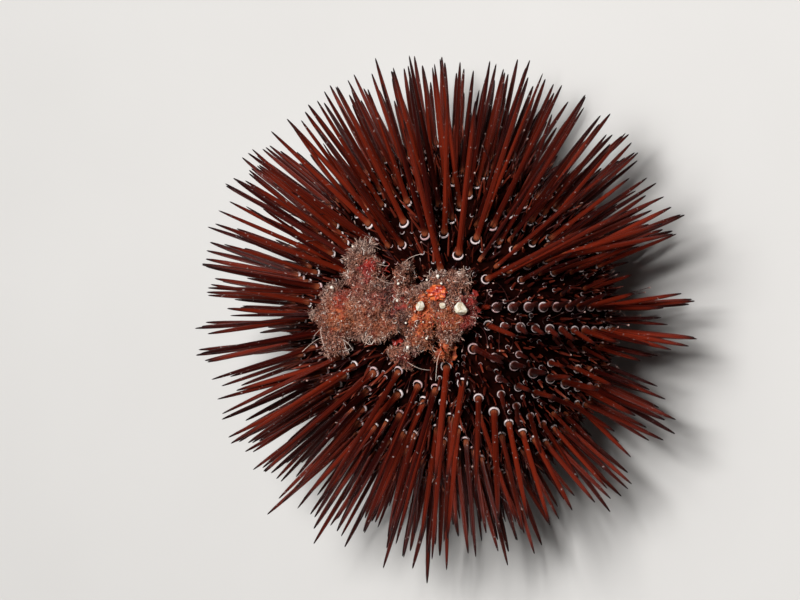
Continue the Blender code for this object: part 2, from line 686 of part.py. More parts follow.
def area_nodes(test, spines, parts, finishes):
    """The ten areas of the test, each with its spines fused on."""
    nodes, roots, ways, lengths, sizes = spines
    for area in range(AREAS):
        middle = AREA_TURN * area + WHOLE_TURN
        kinds = (("ambulacrum", middle, AMBULACRUM_HALF),
                 ("interambulacrum", middle + AREA_TURN / 2, INTERAMBULACRUM_HALF))
        for kind, azimuth, half in kinds:
            name = f"{kind}_{area + 1}"
            item = mesh_object(name, test.data.copy(), parts)
            combine(item, sector(f"{name}_sector", azimuth, half, parts), "INTERSECT")
            shafts = bpy.data.collections.new(f"{name}_spines")
            bpy.context.scene.collection.children.link(shafts)
            for index in np.flatnonzero(nodes == name):
                waist = WAIST_RADIUS if sizes[index] > SLIM_SIZE else 0.0
                widths = (ROOT_RADIUS * sizes[index], waist * sizes[index])
                spine(f"spine_{index}", roots[index], ways[index], lengths[index], widths, shafts)
            combine(item, shafts, "UNION")
            keep_largest(item)
            item.data.materials.clear()
            item.data.materials.append(finishes[kind])


def apical_disc(parts, finish):
    """The disc of small plates round the vent, on top of the test."""
    top = latitude_of_radius(APICAL_RADIUS, True)
    crown = [profile_point(latitude) for latitude in np.linspace(90.0, top, 5)]
    outline = [(0.0, crown[0][1])] + crown[1:]
    floor = crown[-1][1] - APICAL_DEPTH
    outline += [(APICAL_RADIUS, floor), (0.0, floor)]
    disc = turned_solid("apical_disc", outline, DISC_STEPS, parts)
    disc.data.materials.append(finish)
    return disc


def tooth(name, azimuth, tip, collection):
    """One tooth: a four-sided wedge whose point leans in to the middle of the mouth."""
    bm = bmesh.new()
    bmesh.ops.create_cone(bm, cap_ends=True, segments=4, depth=TOOTH_LENGTH,
                          radius1=TOOTH_TIP_RADIUS, radius2=TOOTH_HEAD_RADIUS)
    bmesh.ops.translate(bm, verts=bm.verts, vec=(0.0, 0.0, 0.5 * TOOTH_LENGTH))
    way = Vector((TOOTH_SPREAD, 0.0, TOOTH_LENGTH)).normalized()
    turn = way.to_track_quat("Z", "X").to_matrix().to_4x4()
    spin = Matrix.Rotation(math.radians(azimuth), 4, "Z")
    bm.transform(spin @ Matrix.Translation(Vector((TOOTH_SIDE, 0.0, tip))) @ turn)
    return bmesh_object(name, bm, collection)


def mouth(parts, finish):
    """The skin round the mouth, a raised lip, and the points of the five teeth."""
    edge = profile_point(latitude_of_radius(MOUTH_RADIUS, False))[1]
    outline = [(0.0, edge + MOUTH_DEPTH), (MOUTH_RADIUS, edge + MOUTH_DEPTH), (MOUTH_RADIUS, edge)]
    outline += [(radius, edge + lift) for radius, lift in LIP]
    skin = turned_solid("mouth", outline, DISC_STEPS, parts)
    teeth = bpy.data.collections.new("teeth")
    bpy.context.scene.collection.children.link(teeth)
    for number in range(AREAS):
        azimuth = AREA_TURN * (number + 0.5) + WHOLE_TURN
        tooth(f"tooth_{number}", azimuth, edge - TOOTH_DROP, teeth)
    combine(skin, teeth, "UNION")
    keep_largest(skin)
    skin.data.materials.clear()
    skin.data.materials.append(finish)


def lump(name, centre, halves, roughness, grain, grow, collection):
    """A rough round mass: a ball stretched to its half sizes and moved by noise."""
    bm = bmesh.new()
    bmesh.ops.create_icosphere(bm, subdivisions=2, radius=1.0)
    for vertex in bm.verts:
        way = vertex.co.normalized()
        start = way * grain + centre * 400.0
        bump = noise.noise(start) + 0.6 * noise.noise(2.7 * start)
        place = Vector((way.x * halves[0], way.y * halves[1], way.z * halves[2]))
        vertex.co = centre + place + way * (grow + roughness * bump)
    return bmesh_object(name, bm, collection)


def clump_top(east, north):
    """Height of the clump's upper surface at a place, from its lobes."""
    heights = []
    for lobe in LOBES:
        centre = lobe_centre(lobe)
        share = ((east - centre.x) / lobe[2]) ** 2 + ((north - centre.y) / lobe[3]) ** 2
        if share < 1.0:
            heights.append(centre.z + lobe[4] * math.sqrt(1.0 - share))
    return max(heights)


def set_in_alga(name, bit, grain, body, parts, finish):
    """A hard bit half sunk in the alga, which is cut away round it by a narrow gap."""
    centre = Vector((bit[0], bit[1], clump_top(bit[0], bit[1]) + bit[6] - 0.5 * bit[4]))
    cutter = lump("cutter", centre, bit[2:5], bit[5], grain, 1.5 * GAP, parts)
    combine(body, cutter, "DIFFERENCE")
    item = lump(name, centre, bit[2:5], bit[5], grain, 0.0, parts)
    item.data.materials.append(finish)


def tuft_sites():
    """Root and direction of each tuft on the free upper faces of the lobes."""
    turns = np.arange(TUFTS_PER_LOBE)
    lift = TUFT_TOP - TUFT_FALL * (turns + 0.5) / TUFTS_PER_LOBE
    spin = turns * math.pi * (3.0 - math.sqrt(5.0))
    side = np.sqrt(1.0 - lift ** 2)
    balls = np.stack([side * np.cos(spin), side * np.sin(spin), lift], axis=1)
    places, ways = [], []
    for lobe in LOBES:
        halves = np.array(lobe[2:5])
        places.append(np.array(lobe_centre(lobe)) + balls * halves)
        ways.append(unit(balls / halves))
    places, ways = np.concatenate(places), np.concatenate(ways)
    buried = in_clump(places + 0.0005 * ways, np.full(len(places), -0.0004))
    radius = np.hypot(places[:, 0], places[:, 1])
    low = height_over_test(places) < clump_lift(radius) + TUFT_ROOT + GAP
    for bit in (CRUST,) + SHELLS:
        beside = np.hypot(places[:, 0] - bit[0], places[:, 1] - bit[1])
        low |= beside < max(bit[2:4]) + 2.5 * GAP + TUFT_ROOT
    return places[~buried & ~low], ways[~buried & ~low]


def add_tufts(body, spines):
    """Fuses tapering tufts to the clump, apart from those that a spine passes close by."""
    nodes, roots, ways, lengths, sizes = spines
    places, leans = tuft_sites()
    rng = np.random.default_rng(SEED)
    leans = unit(leans + rng.normal(0.0, TUFT_LEAN, leans.shape))
    reaches = TUFT_LENGTH * rng.uniform(*TUFT_LENGTHS, len(places))
    tufts = bpy.data.collections.new("tufts")
    bpy.context.scene.collection.children.link(tufts)
    shafts = ways * lengths[:, None]
    for number, place in enumerate(places):
        own = np.tile(leans[number] * reaches[number], (len(roots), 1))
        start = np.tile(place, (len(roots), 1))
        s, t, between = closest(start, own, roots, shafts)
        room = np.linalg.norm(between, axis=1) - spine_radius(t, sizes)
        tip = place + leans[number] * reaches[number]
        if room.min() > TUFT_ROOT + GAP and height_over_test(tip) > 2.0 * GAP:
            spine(f"tuft_{number}", place, leans[number], reaches[number],
                  (TUFT_ROOT, TUFT_WAIST), tufts)
    combine(body, tufts, "UNION")


def clump(parts, finishes, spines):
    """The clump of alga: lobes joined, hollowed underneath to lie on the test, with its
    tufts, and the crust and bits of shell that are caught in it."""
    masses = [(lobe_centre(lobe), lobe[2:5]) for lobe in LOBES]
    body = lump("cover_alga", *masses[0], LOBE_ROUGHNESS, LUMP_GRAIN, 0.0, parts)
    others = bpy.data.collections.new("lobes")
    bpy.context.scene.collection.children.link(others)
    for number, (centre, halves) in enumerate(masses[1:]):
        lump(f"lobe_{number}", centre, halves, LOBE_ROUGHNESS, LUMP_GRAIN, 0.0, others)
    combine(body, others, "UNION")
    reach = TEST_RADIUS * 0.98
    outline = [(0.0, WIDEST_LEVEL + TEST_RISE + GAP)]
    for radius in np.linspace(0.002, reach, 16):
        latitude = latitude_of_radius(radius, True)
        lift = float(clump_lift(radius))
        part, rise = profile_normal(latitude)
        r, z = profile_point(latitude)
        outline.append((r + lift * part, z + lift * rise))
    outline.append((0.0, outline[-1][1]))
    combine(body, turned_solid("clearance", outline, 32, parts), "DIFFERENCE")
    add_tufts(body, spines)
    set_in_alga("cover_crust", CRUST, CRUST_GRAIN, body, parts, finishes["cover_crust"])
    for number, shell in enumerate(SHELLS):
        set_in_alga(f"cover_shell_{number + 1}", shell, SHELL_GRAIN, body, parts,
                    finishes["cover_shell"])
    keep_largest(body)
    body.data.materials.clear()
    body.data.materials.append(finishes["cover_alga"])


def centre_on_origin(parts):
    """Moves every part so that the origin is under the middle of the whole animal."""
    corners = [vertex.co for item in parts.objects for vertex in item.data.vertices]
    middle = [0.5 * (max(co[i] for co in corners) + min(co[i] for co in corners)) for i in (0, 1)]
    for item in parts.objects:
        item.data.transform(Matrix.Translation((-middle[0], -middle[1], 0.0)))


def build():
    """Clears the scene and builds the urchin and its clump."""
    for item in list(bpy.data.objects):
        bpy.data.objects.remove(item)
    parts = bpy.data.collections.new("rock_sea_urchin")
    bpy.context.scene.collection.children.link(parts)
    finishes = {
        "ambulacrum": new_material("ambulacrum", (0.16, 0.020, 0.014), 0.35),
        "interambulacrum": new_material("interambulacrum", (0.13, 0.016, 0.013), 0.35),
        "apical_disc": new_material("apical_disc", (0.10, 0.018, 0.022), 0.5),
        "mouth": new_material("mouth", (0.22, 0.09, 0.07), 0.5),
        "cover_alga": new_material("cover_alga", (0.45, 0.22, 0.16), 0.8),
        "cover_crust": new_material("cover_crust", (0.55, 0.09, 0.03), 0.6),
        "cover_shell": new_material("cover_shell", (0.80, 0.76, 0.62), 0.45),
    }
    test = whole_test(parts)
    spines = placed_spines()
    area_nodes(test, spines, parts, finishes)
    bpy.data.objects.remove(test)
    apical_disc(parts, finishes["apical_disc"])
    mouth(parts, finishes["mouth"])
    clump(parts, finishes, spines)
    centre_on_origin(parts)


build()
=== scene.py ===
import math

import bpy
import numpy as np
from mathutils import Matrix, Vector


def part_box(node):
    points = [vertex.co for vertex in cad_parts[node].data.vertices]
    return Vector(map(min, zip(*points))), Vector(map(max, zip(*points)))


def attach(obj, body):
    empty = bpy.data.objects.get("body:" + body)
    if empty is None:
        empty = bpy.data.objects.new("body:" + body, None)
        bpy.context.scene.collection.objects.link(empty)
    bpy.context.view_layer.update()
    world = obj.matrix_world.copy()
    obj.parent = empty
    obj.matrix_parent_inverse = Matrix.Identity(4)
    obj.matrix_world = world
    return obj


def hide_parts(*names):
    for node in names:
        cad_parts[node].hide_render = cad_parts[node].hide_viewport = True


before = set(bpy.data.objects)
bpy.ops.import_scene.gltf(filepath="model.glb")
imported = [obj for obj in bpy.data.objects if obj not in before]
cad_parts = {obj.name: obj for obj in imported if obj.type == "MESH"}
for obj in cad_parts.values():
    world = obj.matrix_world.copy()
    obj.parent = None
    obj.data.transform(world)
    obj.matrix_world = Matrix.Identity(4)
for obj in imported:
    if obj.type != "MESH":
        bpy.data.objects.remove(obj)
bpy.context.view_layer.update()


# The test
# The round shell of a live urchin is limy plates grown edge to edge under a thin, near-black
# skin. Each spine turns on a knob of its own, and the knobs stand in rows from the disc on top
# to the mouth underneath: two rows in each of five narrow areas, more in the five wide ones.
TEST_RADIUS = 0.0250
TEST_RISE = 0.0168
TEST_DROP = 0.0095
WIDEST_LEVEL = 0.0165
UNDERSIDE_POWER = 0.80
DISC_RADIUS = 0.0050
DISC_DEPTH = 0.0022
MOUTH_RADIUS = 0.0082
MOUTH_DEPTH = 0.0030
AREAS = 5
AREA_TURN = 72.0
WHOLE_TURN = -1.74
NARROW_HALF = 13.5
LOWEST_LATITUDE = -71.0
THINNED_LATITUDE = -22.0
NARROW_TOPS = (62.1, 65.1)
NARROW_STEP = 6.1
NARROW_SIDE = 0.0008
NARROW_SIDE_GROWTH = 0.039
NARROW_SIZE = 0.92
INNER_TOP = 48.0
# Rows of a wide area, on both sides of its middle: top latitudes, lowest latitude and step; the
# turn from the middle at INNER_TOP, its growth per degree down and its most; and size
WIDE_ROWS = (((70.4, 66.4), LOWEST_LATITUDE, 8.4, (12.0, 0.0, 12.0), 1.0),
             ((INNER_TOP, 43.8), -20.0, 8.4, (3.0, 0.085, 5.5), 0.85),
             ((45.0, 45.0), -12.0, 14.4, (18.0, 0.0, 18.0), 0.80))
# Small spines: degrees between rows, gap along them, clearing round a large root, seed
SECOND_SITES = (3.7, 0.00155, 0.00105, 21)
LEAST_SITES = (3.1, 0.00135, 0.00095, 22)
SMALL_LATITUDES = (76.0, -72.0)
SMALL_SHAKE = 0.33
SLIM_LATITUDES = (67.0, -64.0)
SLIM_STEP = 7.4
SLIM_SPACING = 0.0032
SLIM_SHAKE = 0.30
SLIM_CLEARING = 0.0015
SLIM_TO_BORDER = 0.0010
SLIM_SEED = 23
SKIN_DEPTH = 0.00012
SKIN_ROWS = 200
SKIN_COLUMNS = 480
SKIN_INSET = 0.8
SKIN_ROUGHNESS = 0.00003
SKIN_GRAIN = 0.0009
KNOB_HEIGHT = 0.00055
KNOB_RADIUS = 0.00125
KNOB_ROWS = 6
KNOB_COLUMNS = 22
BOSS_TOP = 0.25
BOSS_SHARE = 0.55
BALL_SHARE = 0.45
BALL_RADIUS = 0.34
SECOND_KNOB = 0.55
LEAST_KNOB = 0.36
PATCH = 0.003

mouth_low, mouth_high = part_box("mouth")
AXIS = np.array([(mouth_low.x + mouth_high.x) / 2, (mouth_low.y + mouth_high.y) / 2, 0.0])
UP = np.array([0.0, 0.0, 1.0])
TEST_CENTRE = WIDEST_LEVEL * UP
TEST_HALVES = np.array([TEST_RADIUS, TEST_RADIUS, TEST_RISE])


def unit(vectors):
    """The vectors divided by their own lengths."""
    return vectors / np.linalg.norm(vectors, axis=-1, keepdims=True)


def from_axis(points):
    """Distance of points from the upright axis."""
    return np.hypot(points[..., 0], points[..., 1])


def smooth(value, low, high):
    """3 s^2 - 2 s^3, where s runs from 0 at low to 1 at high and is held there."""
    share = np.clip((value - low) / (high - low), 0.0, 1.0)
    return share * share * (3.0 - 2.0 * share)


def waves(points, size, seed, count=14):
    """A rough, repeatable field between about -1 and 1: a sum of plane waves whose lengths lie
    round the given size, with seeded directions and phases, divided by the root of their count."""
    draw = np.random.default_rng(seed)
    ways = unit(draw.normal(size=(count, 3))) * (2 * np.pi / size) * draw.uniform(0.6, 1.6, (count, 1))
    return np.sin(points @ ways.T + draw.uniform(0, 2 * np.pi, count)).sum(-1) / math.sqrt(count)


def test_profile(latitude):
    """Radius and height of the shell at a latitude in degrees: R cos t and H sin t above the
    widest level, and below it the same with cos and sin raised to the underside's power."""
    angle = np.radians(np.abs(latitude))
    power = np.where(latitude >= 0.0, 1.0, UNDERSIDE_POWER)
    rise = np.where(latitude >= 0.0, TEST_RISE, -TEST_DROP)
    return TEST_RADIUS * np.cos(angle) ** power, WIDEST_LEVEL + rise * np.sin(angle) ** power


def on_test(latitude, azimuth):
    """Points of the shell at latitudes and azimuths in degrees, and its normals there, square
    to the profile's slope over one degree."""
    radius, height = test_profile(latitude)
    lower, upper = test_profile(latitude - 0.5), test_profile(latitude + 0.5)
    slope = np.hypot(upper[0] - lower[0], upper[1] - lower[1])
    out, up = (upper[1] - lower[1]) / slope, (lower[0] - upper[0]) / slope
    east, north = np.cos(np.radians(azimuth)), np.sin(np.radians(azimuth))
    points = np.stack([radius * east, radius * north, height + 0 * east], axis=-1)
    return points, np.stack([out * east, out * north, up + 0 * east], axis=-1)


def unwrapped(latitude, azimuth):
    """The skin's own unwrap: azimuth across and latitude up, both within 0.01 to 0.98."""
    return np.stack([0.01 + 0.97 * (azimuth % 360.0) / 360.0, 0.5 + 0.97 * latitude / 180.0], axis=-1)


def spine_rows():
    """Large spines, row by row: area, latitude and azimuth in degrees, and size. The narrow
    areas are numbered 0 to 4 and the wide ones 5 to 9."""
    rows = []
    for area in range(AREAS):
        middle = AREA_TURN * area + WHOLE_TURN
        for side, top in zip((1, -1), NARROW_TOPS):
            above = np.arange(top, THINNED_LATITUDE, -NARROW_STEP)
            below = np.arange(above[-1] - 2 * NARROW_STEP, LOWEST_LATITUDE, -2 * NARROW_STEP)
            latitude = np.concatenate([above, below])
            radius = test_profile(latitude)[0]
            turn = np.degrees((NARROW_SIDE + NARROW_SIDE_GROWTH * radius) / radius)
            rows.append((area, latitude, middle + side * turn, NARROW_SIZE))
        for tops, lowest, step, (turn, growth, most), size in WIDE_ROWS:
            for side, top in zip((1, -1), tops):
                latitude = np.arange(top, lowest, -step)
                across = side * np.minimum(turn + growth * (INNER_TOP - latitude), most)
                rows.append((AREAS + area, latitude, middle + AREA_TURN / 2 + across, size))
    whole = [np.stack(np.broadcast_arrays(*row)) for row in rows]
    area, latitude, azimuth, size = np.concatenate(whole, axis=1)
    return area.astype(int), latitude, azimuth, size


def clearance(points):
    """Distance from points to the nearest root of a large spine."""
    return np.linalg.norm(points[:, None] - large_roots[None], axis=2).min(1)


def small_sites(row_step, gap, clearing, seed):
    """Sites of small spines: a lattice of latitude rows, gap apart along each row, shaken by a
    third of a step, without those that lie within the clearing of a large spine."""
    draw = np.random.default_rng(seed)
    latitudes, azimuths = [], []
    for latitude in np.arange(*SMALL_LATITUDES, -row_step):
        count = int(2 * np.pi * test_profile(latitude)[0] / gap)
        azimuths.append((np.arange(count) + draw.uniform()) * 360.0 / count)
        latitudes.append(np.full(count, latitude))
    latitude, azimuth = np.concatenate(latitudes), np.concatenate(azimuths)
    turn = np.degrees(gap / test_profile(latitude)[0])
    latitude = latitude + row_step * draw.uniform(-SMALL_SHAKE, SMALL_SHAKE, len(latitude))
    azimuth = azimuth + turn * draw.uniform(-SMALL_SHAKE, SMALL_SHAKE, len(azimuth))
    free = clearance(on_test(latitude, azimuth)[0]) > clearing
    return latitude[free], azimuth[free]


large_area, large_latitude, large_azimuth, large_size = spine_rows()
large_roots, large_normals = on_test(large_latitude, large_azimuth)
second_latitude, second_azimuth = small_sites(*SECOND_SITES)
second_roots, second_normals = on_test(second_latitude, second_azimuth)
least_latitude, least_azimuth = small_sites(*LEAST_SITES)
least_roots, least_normals = on_test(least_latitude, least_azimuth)


def borders_beside(azimuths):
    """Which border of the areas comes next round the axis, and the degrees back and on to one."""
    borders = np.array([-NARROW_HALF, NARROW_HALF, AREA_TURN - NARROW_HALF, AREA_TURN + NARROW_HALF])
    places = (azimuths - WHOLE_TURN) % AREA_TURN
    following = np.searchsorted(borders, places)
    return following, places - borders[following - 1], borders[following] - places


def slim_sites():
    """Area, latitude and azimuth of the slim spines: shaken rows, without the places close to a
    large root or to the border of an area."""
    draw = np.random.default_rng(SLIM_SEED)
    sites = []
    for row in np.arange(*SLIM_LATITUDES, -SLIM_STEP):
        count = int(2.0 * math.pi * test_profile(row)[0] / SLIM_SPACING)
        shaken = draw.uniform(-SLIM_SHAKE, SLIM_SHAKE, (count, 2))
        latitudes = row + SLIM_STEP * shaken[:, 0]
        azimuths = (np.arange(count) + draw.uniform() + shaken[:, 1]) * 360.0 / count
        following, back, on = borders_beside(azimuths)
        areas = np.floor((azimuths - WHOLE_TURN) / AREA_TURN + (following == 3)).astype(int) % AREAS
        roots = on_test(latitudes, azimuths)[0]
        to_border = from_axis(roots) * np.radians(np.minimum(back, on))
        free = (clearance(roots) > SLIM_CLEARING) & (to_border > SLIM_TO_BORDER)
        sites.append(np.stack([areas + AREAS * (following == 2), latitudes, azimuths])[:, free])
    area, latitude, azimuth = np.concatenate(sites, axis=1)
    return area.astype(int), latitude, azimuth


middle_area, middle_latitude, middle_azimuth = slim_sites()
middle_roots, middle_normals = on_test(middle_latitude, middle_azimuth)


def ring_faces(count, rings, sides):
    """Faces of closed tubes whose points are rings in order, bottom to top, with the two end
    points of each tube last. A side face joins point j to j + 1 and ring i to i + 1, and the
    ends are fans. The map gives each corner its share round and along the tube."""
    size = rings * sides + 2
    tube, i, j = np.meshgrid(np.arange(count), np.arange(rings - 1), np.arange(sides), indexing="ij")
    start, after = tube * size, (j + 1) % sides
    quads = np.stack([start + i * sides + j, start + i * sides + after,
                      start + (i + 1) * sides + after, start + (i + 1) * sides + j], axis=-1)
    round_share = np.stack([j, j + 1, j + 1, j], axis=-1) / sides
    long_share = np.stack([i, i, i + 1, i + 1], axis=-1) / (rings - 1)
    quad_map = np.stack([round_share, long_share], axis=-1)
    tube, j = np.meshgrid(np.arange(count), np.arange(sides), indexing="ij")
    start, after, last = tube * size, (j + 1) % sides, (rings - 1) * sides
    bottom = np.stack([start + last + sides, start + after, start + j], axis=-1)
    top = np.stack([start + last + j, start + last + after, start + last + sides + 1], axis=-1)
    middle, left, right = (j + 0.5) / sides, j / sides, (j + 1) / sides
    bottom_map = np.stack([np.stack([middle, right, left], -1), 0.0 * bottom], axis=-1)
    top_map = np.stack([np.stack([left, right, middle], -1), 0.0 * top + 1.0], axis=-1)
    triangles = np.stack([bottom, top], axis=1)
    triangle_map = np.stack([bottom_map, top_map], axis=1)
    return quads.reshape(count, -1, 4), triangles.reshape(count, -1, 3), \
        quad_map.reshape(count, -1, 4, 2), triangle_map.reshape(count, -1, 3, 2)


def closed(rows):
    """Points and faces of one closed tube from its rings, with an end point on the axis for each
    end. The end rings lie level."""
    ends = [[0.0, 0.0, rows[end, :, 2].mean()] for end in (0, -1)]
    return np.concatenate([rows.reshape(-1, 3), ends]), ring_faces(1, *rows.shape[:2])


def at_level(ring, level):
    """A ring's points moved up or down to one level."""
    return ring * [1.0, 1.0, 0.0] + level * UP


def in_scene(name, data):
    """An object of that data, linked to the scene."""
    item = bpy.data.objects.new(name, data)
    bpy.context.scene.collection.objects.link(item)
    return item


def new_piece(name, points, faces, finish, slot, corners=None, patch=1.0, **marks):
    """Makes one mesh of whole arrays: points, four- and three-sided faces with their map, and
    one number per point for each mark. The map "length" keeps the shares round and along, and
    OFBake is corner + patch times the same shares, with a corner for each tube."""
    quads, triangles, quad_map, triangle_map = faces
    loops = np.concatenate([quads.reshape(-1), triangles.reshape(-1)])
    totals = np.concatenate([np.full(quads.size // 4, 4), np.full(triangles.size // 3, 3)])
    mesh = bpy.data.meshes.new(name)
    mesh.vertices.add(len(points))
    mesh.vertices.foreach_set("co", (points + AXIS).astype(np.float32).reshape(-1))
    mesh.loops.add(len(loops))
    mesh.loops.foreach_set("vertex_index", loops.astype(np.int32))
    mesh.polygons.add(len(totals))
    mesh.polygons.foreach_set("loop_start", (np.cumsum(totals) - totals).astype(np.int32))
    mesh.polygons.foreach_set("use_smooth", np.ones(len(totals), dtype=bool))
    mesh.update(calc_edges=True)
    corners = np.zeros((len(quads), 2)) if corners is None else corners
    for layer, start, scale in (("OFBake", corners, patch), ("length", 0 * corners, 1.0)):
        places = [start[:, None, None] + shares * scale for shares in (quad_map, triangle_map)]
        flat = np.concatenate([place.reshape(-1) for place in places]).astype(np.float32)
        mesh.uv_layers.new(name=layer).data.foreach_set("uv", flat)
    for mark_name, values in marks.items():
        values = np.broadcast_to(values, len(points)).astype(np.float32)
        mesh.attributes.new(mark_name, "FLOAT", "POINT").data.foreach_set("value", values)
    mesh.materials.append(finish)
    mesh.validate()
    piece = in_scene(name, mesh)
    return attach(piece, "root")


class Signal:
    """One value in a material. Python's operators on it add the nodes that work it out."""

    def __init__(self, tree, socket):
        self.tree = tree
        self.socket = socket

    def make(self, kind, settings=None, inputs=None, output=0):
        """Adds a node: its settings first, then its sockets by name or number, each to a value
        or to another signal."""
        node = self.tree.nodes.new(kind)
        for name, value in (settings or {}).items():
            setattr(node, name, value)
        for name, value in (inputs or {}).items():
            if isinstance(value, Signal):
                self.tree.links.new(value.socket, node.inputs[name])
            else:
                node.inputs[name].default_value = value
        return Signal(self.tree, node.outputs[output])

    def maths(self, operation, first, second=0.0):
        """A Math node of that operation."""
        return self.make("ShaderNodeMath", {"operation": operation}, {0: first, 1: second})

    def __add__(self, other):
        return self.maths("ADD", self, other)

    def __mul__(self, other):
        return self.maths("MULTIPLY", self, other)

    __radd__ = __add__
    __rmul__ = __mul__

    def between(self, low, high):
        """0 below low, 1 above high and a smooth step between."""
        return self.make("ShaderNodeMapRange", {"interpolation_type": "SMOOTHSTEP"},
                         {"Value": self, "From Min": low, "From Max": high})

    def blend(self, low, high):
        """The first colour where this is 0, the second where it is 1."""
        low = low if isinstance(low, Signal) else (*low, 1.0)
        high = high if isinstance(high, Signal) else (*high, 1.0)
        return self.make("ShaderNodeMix", {"data_type": "RGBA"}, {0: self, 6: low, 7: high}, 2)


def new_finish(name, **constants):
    """A material on one Principled shader with constant sockets set. Gives the material and a
    first signal, the Object coordinates, from which all its patterns start."""
    material = bpy.data.materials.new(name)
    material.use_nodes = True
    tree = material.node_tree
    shader = tree.nodes["Principled BSDF"]
    for socket, value in constants.items():
        shader.inputs[socket.replace("_", " ").title().replace("Ior", "IOR")].default_value = value
    start = Signal(tree, None).make("ShaderNodeTexCoord", output="Object")
    return material, start


def dress(start, bump=None, bump_depth=0.0002, **sockets):
    """Feeds signals to the shader's sockets, and a height to its Normal through a Bump node."""
    shader = start.tree.nodes["Principled BSDF"]
    for socket, value in sockets.items():
        start.tree.links.new(value.socket, shader.inputs[socket.replace("_", " ").title()])
    if bump is not None:
        normal = start.make("ShaderNodeBump", inputs={"Height": bump, "Distance": bump_depth})
        start.tree.links.new(normal.socket, shader.inputs["Normal"])


def grain(start, scale, detail=3.0, vector=None):
    """Blender's noise, between 0 and 1, on the Object coordinates or on another vector."""
    inputs = {"Vector": vector or start, "Scale": scale, "Detail": detail}
    return start.make("ShaderNodeTexNoise", inputs=inputs, output="Fac")


def mark(start, name):
    """The piece's own number per point of that name."""
    return start.make("ShaderNodeAttribute", {"attribute_name": name}, output="Fac")


def tube_share(start, axis):
    """A tube's own share, round it for X and along it for Y."""
    place = start.make("ShaderNodeUVMap", {"uv_map": "length"})
    return place.make("ShaderNodeSeparateXYZ", inputs={0: place}, output=axis)


def knobs(surface, latitudes, roots, root_latitudes, root_azimuths, size):
    """Heights of the skin over its plates: at each root a boss that falls off with distance as a
    smooth step, with a round ball of a third of its radius on top. Only the patch of grid points
    that a boss can reach is worked out, and the highest boss wins."""
    rows = np.abs(latitudes[None] - root_latitudes[:, None]).argmin(1)
    columns = np.round((root_azimuths % 360.0) / 360.0 * SKIN_COLUMNS).astype(int)
    down, across = np.meshgrid(np.arange(-KNOB_ROWS, KNOB_ROWS + 1),
                               np.arange(-KNOB_COLUMNS, KNOB_COLUMNS + 1), indexing="ij")
    row = np.clip(rows[:, None, None] + down, 0, len(latitudes) - 1)
    column = (columns[:, None, None] + across) % SKIN_COLUMNS
    far = np.linalg.norm(surface[row, column] - roots[:, None, None], axis=3) / (KNOB_RADIUS * size)
    ball = np.sqrt(np.clip(1.0 - (far / BALL_RADIUS) ** 2, 0, 1))
    height = np.zeros(surface.shape[:2])
    np.maximum.at(height, (row, column), KNOB_HEIGHT * size
                  * (BOSS_SHARE * (1.0 - smooth(far, BOSS_TOP, 1.0)) + BALL_SHARE * ball))
    return height


def mouth_latitude():
    """The latitude at which the shell's radius is the mouth's."""
    return -math.degrees(math.acos((MOUTH_RADIUS / TEST_RADIUS) ** (1 / UNDERSIDE_POWER)))


def test_skin():
    """Rows of points from the mouth's seat up the profile to the disc's seat, each row a circle
    round the axis, moved out along the normal by the knobs and by a fine roughness."""
    top = math.degrees(math.acos(DISC_RADIUS / TEST_RADIUS))
    latitudes = np.linspace(mouth_latitude() + SKIN_INSET, top - SKIN_INSET, SKIN_ROWS)
    azimuths = np.arange(SKIN_COLUMNS) * 360.0 / SKIN_COLUMNS
    surface, normals = on_test(latitudes[:, None], azimuths[None])
    height = np.zeros(surface.shape[:2])
    for roots, latitude, azimuth, size in ((large_roots, large_latitude, large_azimuth, 1.0),
                                           (second_roots, second_latitude, second_azimuth, SECOND_KNOB),
                                           (least_roots, least_latitude, least_azimuth, LEAST_KNOB)):
        height = np.maximum(height, knobs(surface, latitudes, roots, latitude, azimuth, size))
    height = height + SKIN_ROUGHNESS * waves(surface, SKIN_GRAIN, 5) - SKIN_DEPTH
    surface = surface + normals * height[..., None]
    seat_low = at_level(surface[0], surface[0, :, 2].mean() + MOUTH_DEPTH)
    seat_high = at_level(surface[-1], surface[-1, :, 2].mean() - DISC_DEPTH)
    return closed(np.concatenate([seat_low[None], surface, seat_high[None]]))


skin_finish, start = new_finish("skin_over_test", roughness=0.80, specular_ior_level=0.0)
stain = grain(start, 260.0, 4.0).between(0.35, 0.7)
pores = start.make("ShaderNodeTexVoronoi", inputs={"Vector": start, "Scale": 1500.0}, output="Distance")
dress(start, bump=pores + 0.6 * grain(start, 2400.0), bump_depth=0.00012,
      base_color=stain.blend((0.0022, 0.0006, 0.0006), (0.0120, 0.0024, 0.0016)))
test = new_piece("test", *test_skin(), skin_finish, "test_and_spines", np.array([[0.01, 0.01]]), 0.97)
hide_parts(*[f"{kind}ambulacrum_{n + 1}" for kind in ("", "inter") for n in range(AREAS)])


# The large spines
# Each is one crystal of limestone under a thin skin: a shaft ribbed along its length that tapers
# to a dark point. They turn on their knobs by muscle, and here they stand as in the photo, fanned
# out from the line of sight on the near side and straight out from the test on the far one.
LONGEST = 0.0280
SHORTEST = 0.0062
TIP_REACH = 0.0364
TIP_SCATTER = 0.045
TIP_RING_SHIFT = (-0.0012, 0.0014)
LEAST_SLIDE = 0.30
FACING_TILT = 26.45
FAN_RISE = 0.0006
FAN_CORE = 0.008
SEEN_FACINGS = (-0.05, 0.30)
SPREAD_REACHES = (0.0120, 0.0180, 0.0240)
SPREAD_ANGLES = (59.0, 66.0, 76.0)
SPREAD_SCATTER = 5.0
LEFT_SPREAD = 12.0
LEFT_SPREAD_FALL = 0.35
LEFT_LATITUDE = 25.0
BUNDLE_TURN = 3.0
BUNDLE_WAVES = ((5.0, 0.13), (11.0, -0.21))
HEADING_SCATTER = 3.5
AHEAD_MIDDLE = -15.0
